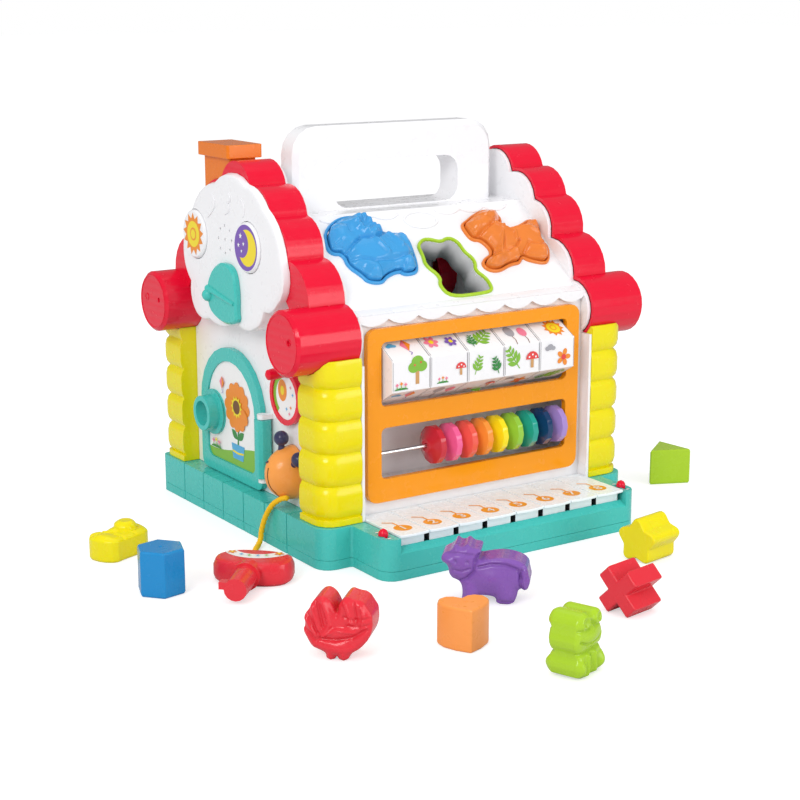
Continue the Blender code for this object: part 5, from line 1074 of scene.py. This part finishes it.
@dataclass
class SlopeDetails:
    """What is moulded into the slope and the gable: rims, the chute and a faint relief, in mm."""

    width: float = 2.6
    proud: float = 2.1
    foot: float = 0.4
    sunk: Pair = (-0.1, -1.5)
    rim_out: float = 2.8
    frog_play: float = 0.9
    frog_middle: Pair = (3.4, 30.0)
    chute: tuple = ((-0.35, -0.2), (-0.05, -0.2), (-0.05, -3.3), (1.0, -3.4), (1.0, -19.0), (-0.35, -19.0))
    creases: tuple = (
        ((-25.1, 254.3), (-21.5, 249.8), (-22.4, 244.8), (-27.4, 239.8), (-33.1, 236.1)),
        ((0.2, 257.8), (3.4, 253.8), (1.6, 250.6), (-2.4, 250.1), (0.6, 248.4), (1.9, 246.2), (-0.4, 243.2),
         (-5.1, 241.2)),
        ((17.9, 255.2), (22.6, 252.4), (24.2, 248.5), (23.8, 244.6), (21.7, 241.9)),
    )

    def rim(self, name: str, middle: np.ndarray, finish: Finish) -> None:
        """Sweep a half-round rim along an outline.

        Args:
            name: The rim's name.
            middle: The outline's middle line, (n, 2).
            finish: Its plastic.
        """
        arch = spokes(np.linspace(0, math.pi, 9)) * (1, self.proud - self.foot) + (0, self.foot)
        low, deep = self.sunk
        section = np.vstack([(1, low), arch, (-1, low), (-1, deep)]) * (self.width / 2, 1)
        Builder.sweep(name, Outline.smooth(middle), section * MM, SLOPE, finish)

    @staticmethod
    def ridge(name: str, line: np.ndarray, place: Place, width: float, height: float, closed: bool = True,
              finish: Finish = WHITE, body: str = "house") -> None:
        """Raise a thin low ridge along a line.

        Args:
            name: The ridge's name.
            line: Its middle line in u and v, mm, (n, 2).
            place: The surface it lies on.
            width: Its whole width, mm.
            height: Its height, mm.
            closed: Whether the line closes.
            finish: Its plastic.
            body: The body that it rides on.
        """
        section = spokes(np.linspace(0, math.pi, 7)) * (width / 2, height)
        Builder.sweep(name, line * MM, section * MM, place, finish, body, closed)

    def faint_relief(self) -> None:
        """Raise the oval and the scallops at the slope's top.

        The oval is (a cos t, b sin t); the scallops are v = top - 4.2 |sin(pi (u - u0) / 23)|.
        """
        self.ridge("slope_oval", spokes(around(60)) * (14.6, 8.0) + (0, 79.4), SLOPE, 2.2, 0.9)
        u = np.linspace(17.0, 86.0, 90)
        v = 87.0 - 4.2 * np.abs(np.sin(math.pi * (u - 17.0) / 23.0))
        for name, side in (("left", -1), ("right", 1)):
            self.ridge(f"slope_scallops_{name}", np.stack([side * u, v], 1), SLOPE, 1.8, 0.8, False)

    def gable_relief(self) -> None:
        """Raise the creases of the cloud and the rings on the ends of the two rolls."""
        cloud = facing_left(-0.1410, 0.0, 0.0)
        for k, crease in enumerate(self.creases):
            self.ridge(f"cloud_crease_{k + 1}", evenly(crease, 30), cloud, 1.3, 0.7, False)
        for name, side in (("front", -1), ("rear", 1)):
            end = facing_left(-0.1563, side * 0.1015, 0.163)
            dimple = Outline.circle(2.6, 24, (-side * 10.3, 2.5))
            self.ridge(f"roll_ring_{name}", Outline.circle(20.8, 64), end, 1.3, 0.5, finish=RED)
            self.ridge(f"roll_dimple_{name}", dimple, end, 0.9, 0.4, finish=RED)

    def gate_marks(self) -> None:
        """Leave the moulding gate's small ring on top of the two upright blocks."""
        for node, finish in (("block_heart", PEACH), ("block_hexagon", DEEP_BLUE)):
            points = corners_of(FRAME["nodes"][node].data)
            (x, y, _), high = (points.min(0) + points.max(0)) / 2, points[:, 2].max()
            top = lying((float(x), float(y)), height=float(high))
            self.ridge(f"{node}_gate", Outline.circle(1.0, 20), top, 0.7, 0.3, finish=finish, body=node)

    def frog_hole(self) -> np.ndarray:
        """Return the outline of the frog's hole in the slope, from the block that fits it."""
        cap = Outline.cap("block_frog", standing(FROG_SPOT, FROG_HEADING))
        frog = Outline.grown(cap, self.frog_play * MM) / FROG_SHARE
        frog[:, 1] -= (frog[:, 1].max() + frog[:, 1].min()) / 2
        u, v = self.frog_middle
        return frog + (u * MM, v * MM + 0.01 * FROG_WIDTH)

    def build(self) -> None:
        """Make the three rims, the chute and the relief."""
        for animal, finish in (("sheep", BLUE), ("dog", BLOCK_ORANGE)):
            middle = Outline.grown(Outline.cap(f"block_{animal}", SLOPE), self.rim_out * MM)
            self.rim(f"{animal}_rim", middle, finish)
        frog = self.frog_hole()
        self.rim("frog_rim", Outline.grown(frog, -self.width / 2 * MM), LIME)
        wall = Outline.smooth(Outline.grown(frog, -self.width * MM))
        # the chute's mid-grey is painted shade inside the frog's hole
        Builder.sweep("frog_chute", wall, np.array(self.chute) * MM, SLOPE, SHADED_CHUTE)
        self.faint_relief()
        self.gable_relief()
        self.gate_marks()
        LOG.info("slope details made")


Shape = tuple[Ink, np.ndarray]


class Motif:
    """Plain printed motifs as lists of inked outlines, in mm."""

    @staticmethod
    def at(centre: Pair, size: float, shapes: list[Shape], turn: float = 0.0) -> list[Shape]:
        """Place shapes that are drawn in units of a size: c + s R(turn) p."""
        return [(ink, rotated(outline, turn) * size + centre) for ink, outline in shapes]

    @staticmethod
    def oval(centre: Pair, reach: Pair, turn: float = 0.0, sides: int = 28) -> np.ndarray:
        """Return c + R(turn) (a cos t, b sin t)."""
        return rotated(Outline.circle(1.0, sides) * reach, turn) + centre

    @staticmethod
    def leaf(foot: Pair, length: float, width: float, turn: float) -> np.ndarray:
        """Return a pointed leaf: (l s, +- w/2 sin(pi s)) turned about its foot."""
        s = np.linspace(0, 1, 12)
        upper = np.stack([s * length, np.sin(math.pi * s) * width / 2], 1)
        return rotated(np.vstack([upper, upper[-2:0:-1] * (1, -1)]), turn) + foot

    @staticmethod
    def star(centre: Pair, outer: float, inner: float, points: int) -> np.ndarray:
        """Return an upright star of straight points between two radii."""
        order = np.arange(2 * points)
        radius = np.where(order % 2 == 0, outer, inner)
        return spokes(math.pi / 2 + order * math.pi / points) * radius[:, None] + centre

    @staticmethod
    def band(line: list[Pair], width: float) -> np.ndarray:
        """Return the outline of a line drawn with a flat width."""
        path = np.array(line, float)
        side = Outline.normals(path, False) * width / 2
        return np.vstack([path - side, (path + side)[::-1]])

    @staticmethod
    def hill(low: Pair, width: float, height: float) -> np.ndarray:
        """Return a mound of grass: a half-oval standing on its flat foot."""
        return spokes(np.linspace(0, math.pi, 20)) * (width / 2, height) + low

    @staticmethod
    def crescent(radius: float, bite: Pair, bite_radius: float) -> np.ndarray:
        """Return a disc less another: the circles meet at +- a and +- b from the line of centres.

        With d between the centres, cos a = (d^2 + R^2 - r^2) / (2 d R) and
        cos b = (d^2 + r^2 - R^2) / (2 d r).

        Args:
            radius: The disc's radius, R, about the origin.
            bite: The centre of the disc that is taken away.
            bite_radius: Its radius, r.

        Returns:
            The outline, (n, 2).
        """
        d, heading = math.hypot(*bite), math.atan2(bite[1], bite[0])
        a = math.acos((d**2 + radius**2 - bite_radius**2) / (2 * d * radius))
        b = math.acos((d**2 + bite_radius**2 - radius**2) / (2 * d * bite_radius))
        outer = np.linspace(heading + a, heading + 2 * math.pi - a, 36)
        inner = np.linspace(heading + math.pi + b, heading + math.pi - b, 24)[1:-1]
        return np.vstack([spokes(outer) * radius, spokes(inner) * bite_radius + bite])

    @classmethod
    def flower(cls, centre: Pair, radius: float, petal: Ink, middle: Ink, petals: int = 6) -> list[Shape]:
        """Return round petals about a disc."""
        turn = around(petals)
        spots = spokes(turn) * 0.62
        shapes = [(petal, cls.oval(spot, (0.42, 0.30), math.degrees(a))) for spot, a in zip(spots, turn)]
        return cls.at(centre, radius, shapes + [(middle, Outline.circle(0.34))])

    @classmethod
    def tulips(cls, centre: Pair, size: float, ink: Ink, other: Ink) -> list[Shape]:
        """Return three small tulips on a tuft of grass."""
        shapes = [(Ink.DARK_GREEN, cls.hill((0, -0.10), 1.5, 0.20))]
        for x, y, colour in ((-0.45, 0.05, ink), (0.0, 0.15, other), (0.45, 0.05, ink)):
            shapes.append((Ink.GREEN, cls.band([(x, 0), (x, y), (x, y + 0.2)], 0.08)))
            shapes.append((colour, cls.star((x, y + 0.32), 0.20, 0.11, 4)))
        return cls.at(centre, size, shapes)

    @classmethod
    def tree(cls, centre: Pair, size: float) -> list[Shape]:
        """Return a round-topped tree with a brown trunk and two apples."""
        crown = (((-0.16, 0.12), (0.24, 0.2)), ((0.18, 0.14), (0.24, 0.2)), ((0, 0.32), (0.26, 0.22)))
        shapes = [(Ink.TAN, cls.band([(0, -0.5), (0, -0.1), (0.02, 0.1)], 0.16))]
        shapes += [(Ink.GREEN, cls.oval(*lobe)) for lobe in crown]
        shapes += [(Ink.RED, Outline.circle(0.04, centre=spot)) for spot in ((-0.12, 0.2), (0.14, 0.28))]
        return cls.at(centre, size, shapes)

    @classmethod
    def kite(cls, centre: Pair, size: float) -> list[Shape]:
        """Return a kite with a curling tail."""
        body = np.array([(0, 0.5), (0.34, 0.08), (0, -0.45), (-0.34, 0.08)])
        tail = cls.band([(0, -0.45), (0.12, -0.6), (-0.02, -0.75)], 0.06)
        return cls.at(centre, size, [(Ink.PURPLE, tail), (Ink.PINK, body), (Ink.ORANGE, body[:3])])

    @classmethod
    def sprig(cls, centre: Pair, size: float, turn: float, ink: Ink = Ink.GREEN) -> list[Shape]:
        """Return a stem with paired leaves that shorten to its tip."""
        outlines = [cls.band([(-0.5, 0), (0, 0), (0.5, 0)], 0.05)]
        for share in (0.22, 0.45, 0.68, 0.9):
            length = 0.55 - 0.35 * share
            outlines += [cls.leaf((share - 0.5, 0), length, length * 0.42, side * 48) for side in (-1, 1)]
        return cls.at(centre, size, [(ink, outline) for outline in outlines], turn)

    @classmethod
    def toadstool(cls, centre: Pair, size: float) -> list[Shape]:
        """Return a red toadstool with pale spots."""
        stalk = cls.band([(0, -0.5), (0, -0.2), (0, 0.05)], 0.2)
        shapes = [(Ink.TAN, stalk), (Ink.RED, cls.hill((0, 0), 0.9, 0.45))]
        for spot in ((-0.22, 0.14), (0.02, 0.26), (0.24, 0.12)):
            shapes.append((Ink.PAPER, Outline.circle(0.06, centre=spot)))
        return cls.at(centre, size, shapes)

    @classmethod
    def sun(cls, centre: Pair, radius: float, rays: int) -> list[Shape]:
        """Return an orange rayed disc with a yellow middle and a paler ring."""
        return cls.at(centre, radius, [
            (Ink.ORANGE, cls.star((0, 0), 1.0, 0.72, rays)), (Ink.YELLOW, Outline.circle(0.60, 40)),
            (Ink.ORANGE, Outline.circle(0.30)), (Ink.YELLOW, Outline.circle(0.22)),
        ])

    @classmethod
    def cloud(cls, centre: Pair, size: float, ink: Ink) -> list[Shape]:
        """Return a small three-lobed cloud."""
        lobes = ((-0.26, 0.0, 0.22), (0.0, 0.10, 0.28), (0.28, 0.0, 0.2))
        return cls.at(centre, size, [(ink, cls.oval((x, y), (r, r * 0.8))) for x, y, r in lobes])

    @classmethod
    def balloon(cls, centre: Pair, size: float, ink: Ink) -> list[Shape]:
        """Return a balloon on its string."""
        string = cls.band([(0, -0.28), (0.05, -0.55), (-0.03, -0.85)], 0.04)
        return cls.at(centre, size, [(Ink.BROWN, string), (ink, cls.oval((0, 0), (0.25, 0.32)))])


@dataclass
class Labels:
    """Every printed label, all of plain motifs drawn in mm."""

    step: float = 0.05
    block_axis: Pair = (-0.1104, 0.1353)
    block_apothem: float = 19.9 * MM
    block_pitch: float = 33.2
    numeral_size: float = 11.0
    numeral_bold: float = 0.012

    def lay(self, name: str, shapes: list[Shape], place: Place, body: str) -> None:
        """Make one mesh of the shapes, each a hair above the last, with one material for each ink.

        Args:
            name: The label's name.
            shapes: The inks and outlines, lowest first.
            place: The surface it lies on.
            body: The body that it rides on.
        """
        inks = list(dict.fromkeys(ink for ink, _ in shapes))
        counts = [len(outline) for _, outline in shapes]
        starts = np.concatenate([[0], np.cumsum(counts)[:-1]])
        levels = np.repeat((np.arange(len(shapes)) + 1) * self.step, counts)
        flat = np.vstack([outline for _, outline in shapes])
        points = place.points(np.column_stack([flat, levels]) * MM)
        faces = [list(range(start, start + count)) for start, count in zip(starts, counts)]
        made = Builder.piece(name, points, faces, inks[0].finish, body)
        for ink in inks[1:]:
            made.data.materials.append(ink.finish.material())
        made.data.polygons.foreach_set("material_index", [inks.index(ink) for ink, _ in shapes])
        shell = bmesh.new()
        shell.from_mesh(made.data)
        out = Vector(place.axes()[2])
        bmesh.ops.reverse_faces(shell, faces=[face for face in shell.faces if face.normal.dot(out) < 0])
        shell.to_mesh(made.data)
        shell.free()

    def buttons(self) -> None:
        """Print the sun and the moon on their buttons."""
        self.lay("sun_label", Motif.sun((0, 0), 16.6, 13), facing_left(-0.1432, 0.054, 0.221), "sun_button")
        bitten = Motif.crescent(13.5, (-8.5, 2.5), 10.5) + (2.0, 0.0)
        moon = [(Ink.PURPLE, Outline.circle(16.9, 48)), (Ink.YELLOW, bitten)]
        for u, v, size in ((-7.5, 8.0, 2.4), (-3.0, 2.5, 1.8), (-10.5, 1.0, 2.0), (-6.0, -3.0, 1.5)):
            moon.append((Ink.PAPER, Motif.star((u, v), size, size * 0.45, 5)))
        self.lay("moon_label", moon, facing_left(-0.1432, -0.029, 0.2204), "moon_button")

    def door(self) -> None:
        """Print the door's panel: a potted sunflower and a kite over grass."""
        half, foot = 38.2, -43.3
        panel = np.vstack([spokes(np.linspace(0, math.pi, 40)) * half, [(-half, foot), (half, foot)]])
        u, v = np.linspace(half, -half, 20), foot + 13 + 6 * np.cos(np.linspace(0.4, 3.4, 20))
        grass = np.vstack([[(-half, foot), (half, foot)], np.stack([u, v], 1)])
        plant = [(Ink.DARK_GREEN, Motif.band([(0, -9), (1, 4), (0, 16)], 2.4))]
        plant += [(Ink.DARK_GREEN, Motif.leaf((0, -4), 12, 6, turn)) for turn in (35.0, 145.0)]
        plant += [
            (Ink.BLUE, np.array([(-8.0, -20.0), (8.0, -20.0), (10.5, -8.0), (-10.5, -8.0)])),
            (Ink.YELLOW, Motif.band([(-8.8, -14), (0, -15), (8.8, -14)], 1.6)),
            *Motif.flower((0, 22), 19.0, Ink.ORANGE, Ink.BROWN, 12),
            (Ink.YELLOW, Motif.star((0, 22), 9.0, 6.5, 12)), (Ink.BROWN, Outline.circle(5.5, centre=(0, 22))),
        ]
        shapes = [(Ink.PAPER, panel), (Ink.GREEN, grass), *Motif.at((9.0, -18.0), 1.0, plant)]
        shapes += Motif.kite((-14.0, 19.0), 11.0) + Motif.tulips((-25.0, -34.0), 11.0, Ink.PINK, Ink.YELLOW)
        self.lay("door_label", shapes, facing_left(-0.12720, 0.028, 0.0856), "door")

    def dial(self) -> None:
        """Print the dial's face: a green rim, an orange sail and small spots."""
        turn = spokes(np.linspace(0.62 * math.pi, 1.28 * math.pi, 24))
        shapes = [
            (Ink.PAPER, Outline.circle(17.3, 48)), (Ink.GREEN, np.vstack([turn * 17.2, turn[::-1] * 13.4])),
            (Ink.ORANGE, Motif.oval((-4.0, 4.0), (6.4, 8.2))),
            (Ink.YELLOW, Motif.oval((-4.0, 4.0), (2.6, 3.6))),
        ]
        spots = ((8, 8), (11, 3), (2, -9), (8, -7), (6, -12))
        for spot, ink in zip(spots, (Ink.PINK, Ink.BLUE, Ink.BLUE, Ink.ORANGE, Ink.PINK)):
            shapes.append((ink, Motif.star(spot, 1.7, 0.7, 4)))
        self.lay("dial_label", shapes, facing_left(-0.12762, -0.056, 0.113), "dial_ring")

    def numeral(self, text: str) -> tuple[np.ndarray, list[list[int]]]:
        """Return a numeral's flat points about its middle, and its faces.

        Args:
            text: The numeral.

        Returns:
            The points (n, 2) in mm and the faces.
        """
        data = bpy.data.curves.new(f"numeral_{text}", "FONT")
        data.body = text
        data.size = self.numeral_size * MM
        data.offset = data.size * self.numeral_bold
        holder = Builder.link(data.name, data)
        bpy.context.view_layer.update()
        mesh = holder.to_mesh()
        flat = corners_of(mesh)[:, :2] / MM
        faces = [list(face.vertices) for face in mesh.polygons]
        bpy.data.objects.remove(holder)
        return flat - (flat.min(0) + flat.max(0)) / 2, faces

    def keys(self) -> None:
        """Print a plain round note with a flag and a number on each key."""
        note = [
            (Ink.AMBER, Motif.oval((-0.7, 0.0), (6.9, 6.5), 0.0, 40)),
            (Ink.AMBER, Motif.band([(-1.2, 4.0), (-1.0, 8.5), (-1.0, 13.4)], 1.5)),
            (Ink.AMBER, Motif.band([(-0.6, 12.8), (-3.6, 14.6), (-7.4, 17.3)], 1.5)),
        ]
        for i in range(KEY_COUNT):
            key = f"key_{i + 1}"
            place = lying((KEY_FIRST + i * KEY_PITCH, -0.1549), height=0.03222)
            self.lay(f"{key}_note", note, place, key)
            flat, faces = self.numeral(str(i + 1))
            raised = np.column_stack([flat * (1.1, 1.0) + (-0.7, 0.0), np.full(len(flat), self.step * 5)])
            Builder.piece(f"{key}_number", place.points(raised * MM), faces, Ink.PAPER.finish, key)

    def block_face(self, index: int, side: int) -> Place:
        """Return the place on one of the six faces of a picture block."""
        a = math.radians(60.0 * side)
        out = np.array([0.0, -math.cos(a), math.sin(a)])
        middle = (index - BLOCK_COUNT // 2) * self.block_pitch * MM
        origin = np.array([middle, *self.block_axis]) + out * self.block_apothem
        return Place(tuple(origin), (1.0, 0.0, 0.0), (0.0, math.sin(a), math.cos(a)))

    @staticmethod
    def pictures() -> list[list[Shape]]:
        """Return the ten plain pictures of the blocks."""
        return [
            Motif.tree((5, 3), 20) + Motif.tulips((-9, -9), 8, Ink.PINK, Ink.ORANGE),
            Motif.tulips((-6, -8.5), 7, Ink.PINK, Ink.ORANGE) + Motif.toadstool((10, 0), 10),
            Motif.sprig((-8, 0), 14, 70.0) + Motif.sprig((9, -2), 13, 110.0, Ink.DARK_GREEN),
            Motif.sprig((-8, 1), 19, 125.0) + Motif.toadstool((9, -1), 13),
            Motif.flower((6, -3), 6.5, Ink.ORANGE, Ink.RED, 5) + Motif.cloud((-7, 5), 10, Ink.GREY),
            Motif.kite((3, 3), 13) + Motif.cloud((-9, 4), 9, Ink.BLUE),
            Motif.flower((-8, 3), 6, Ink.PINK, Ink.YELLOW) + Motif.flower((8, 1), 5, Ink.PURPLE, Ink.YELLOW),
            Motif.sprig((2, 0), 20, 35.0) + Motif.sprig((-8, -2), 12, 80.0, Ink.DARK_GREEN),
            Motif.balloon((-4, 3), 17, Ink.GREY) + Motif.balloon((7, 1), 15, Ink.PINK),
            Motif.sun((4, 1), 9.5, 11),
        ]

    def blocks(self) -> None:
        """Print all thirty faces of the picture blocks, each with a band of painted shade along its ends, for
        the dark gap between blocks.
        """
        reach, high = self.block_pitch / 2 - 0.9, 10.6
        # painted shade: thin dark bands at both ends of each face stand in for the shadowed gaps between
        # blocks
        edges = [(Ink.LINE, Motif.band([(k * reach, -high), (k * reach, high)], 0.35)) for k in (-1, 1)]
        pictures = self.pictures()
        for index in range(BLOCK_COUNT):
            for side in range(6):
                kind = index + 5 * side if side < 2 else index * 3 + side
                shapes = edges + pictures[kind % len(pictures)]
                name = f"picture_{index + 1}_{side + 1}"
                self.lay(name, shapes, self.block_face(index, side), f"picture_block_{index + 1}")

    def toy_key(self) -> None:
        """Print the curved pale band with its flowers on the toy key's bow."""
        line = spokes(np.linspace(math.radians(205), math.radians(335), 24)) * (21.0, 17.0) + (0.0, 16.0)
        shapes = [(Ink.PAPER, Motif.band(line, 8.5))]
        for spot in (line[2], line[-3]):
            shapes += Motif.flower(spot, 3.4, Ink.ORANGE, Ink.YELLOW, 5)
        for k, ink in ((7, Ink.BLUE), (10, Ink.GREEN), (13, Ink.BLUE), (16, Ink.GREEN)):
            shapes.append((ink, Motif.star(line[k], 1.9, 0.8, 4)))
        self.lay("toy_key_label", shapes, lying((-0.187, -0.112), -43.0, 0.0176), "toy_key")

    def switch_marks(self) -> None:
        """Print the two small pale dots beside each switch."""
        shapes = [(Ink.PAPER, Motif.oval((0.0, v), (1.6, 0.9))) for v in (8.0, -8.0)]
        for name, side in (("left", -1), ("right", 1)):
            self.lay(f"switch_marks_{name}", shapes, lying((side * 0.1092, -0.1583), height=0.03078), "house")

    def build(self) -> None:
        """Print every label."""
        self.buttons()
        self.door()
        self.dial()
        self.keys()
        self.blocks()
        self.toy_key()
        self.switch_marks()
        LOG.info("labels printed")


@dataclass
class AnimalHead:
    """The orange head at the cord: its round muzzle, horns, nostrils and mouth."""

    centre: Spot = (-0.1246, -0.062, 0.057)
    reach: Spot = (23.5 * MM, 15.0 * MM, 22.0 * MM)
    bulge: float = 0.07
    horns: tuple = (
        ((-0.1338, -0.060, 0.0833), (0.0, 0.0, -10.5)),
        ((-0.1318, -0.0815, 0.0715), (0.0, 9.0, -6.5)),
    )
    mouth: tuple = ((-0.105, 0.302), (-0.115, -0.003), (-0.176, -0.398), (-0.26, -0.58), (-0.16, -0.80))
    nostrils: tuple = ((0.40, 0.38), (0.16, 0.46))
    ball: float = 5.6 * MM
    stem: float = 2.2 * MM
    line: float = 0.45 * MM
    nostril: float = 0.9 * MM

    def skin(self, turn: np.ndarray, rise: np.ndarray) -> np.ndarray:
        """Return points of the head's swollen half-ellipsoid.

        They are c + (-a cos r, b w cos t, c w sin t), with w = sin r (1 + k cos 2t sin r)
        and k the bulge.

        Args:
            turn: Angles round the wall's normal.
            rise: Angles from the foremost point to the wall.

        Returns:
            The points, with one more axis of 3.
        """
        swell = (1 + self.bulge * np.cos(2 * turn) * np.sin(rise)) * np.sin(rise)
        ray = np.stack([-np.cos(rise) + 0 * turn, swell * np.cos(turn), swell * np.sin(turn)], -1)
        return np.array(self.centre) + ray * self.reach

    def on_skin(self, spots: np.ndarray) -> np.ndarray:
        """Return points on the head above spots (u, v) of its unit disc, u to the back."""
        radius = np.clip(np.linalg.norm(spots, axis=1), 0, 0.995)
        return self.skin(np.arctan2(spots[:, 1], spots[:, 0]), np.arcsin(radius))

    @staticmethod
    def orb(name: str, spot: np.ndarray, radius: float) -> None:
        """Make a small dark ball."""
        turn, rise = np.meshgrid(around(32), np.linspace(0.05, math.pi - 0.05, 17))
        ray = np.stack([np.sin(rise) * np.cos(turn), np.sin(rise) * np.sin(turn), np.cos(rise)], -1)
        Builder.hose(name, spot + ray * radius, NAVY)

    @staticmethod
    def tube(name: str, start: np.ndarray, end: np.ndarray, radius: float) -> None:
        """Make a short round stem between two points, wider at its end."""
        ahead = unit(end - start)
        side = unit(np.cross(ahead, (1.0, 0.1, 0.0)))
        ring = spokes(around(20)) @ np.stack([side, np.cross(side, ahead)])
        share = np.linspace(0, 1, 6)[:, None, None]
        Builder.hose(name, start + share * (end - start) + ring * radius * (0.9 + 0.5 * share**2), NAVY)

    def crease(self, name: str, spots: tuple, radius: float) -> None:
        """Lay a fine dark line on the head through spots of its unit disc."""
        path = self.on_skin(evenly(spots, 40))
        out = unit((path - np.array(self.centre)) / np.array(self.reach) ** 2)
        side = np.cross(unit(np.gradient(path, axis=0)), out)
        ring = spokes(around(8)) @ np.stack([side, out], 1)
        Builder.hose(name, path[:, None] + ring * radius, Ink.BROWN.finish)

    def build(self) -> None:
        """Make the head, in place of its plain solid, with its small pieces."""
        turn, rise = np.meshgrid(around(64), np.linspace(0.02, math.pi / 2, 32))
        head = Builder.hose("head_muzzle", self.skin(turn, rise), APRICOT)
        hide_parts("animal_head")
        for k, (tip, down) in enumerate(np.array(self.horns)):
            self.orb(f"horn_ball_{k + 1}", tip, self.ball)
            self.tube(f"horn_stem_{k + 1}", tip, tip + down * MM, self.stem)
        self.crease("mouth", self.mouth, self.line)
        for k, spot in enumerate(self.on_skin(np.array(self.nostrils))):
            self.orb(f"nostril_{k + 1}", spot, self.nostril)


def main() -> None:
    """Dress the house and set the studio."""
    Studio().build()
    TwistedCord().build()
    Mouldings().build()
    AnimalBlocks().build()
    SlopeDetails().build()
    AnimalHead().build()
    Labels().build()


if __name__ == "__main__":
    logging.basicConfig(level=logging.INFO, format="%(message)s")
    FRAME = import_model()
    main()
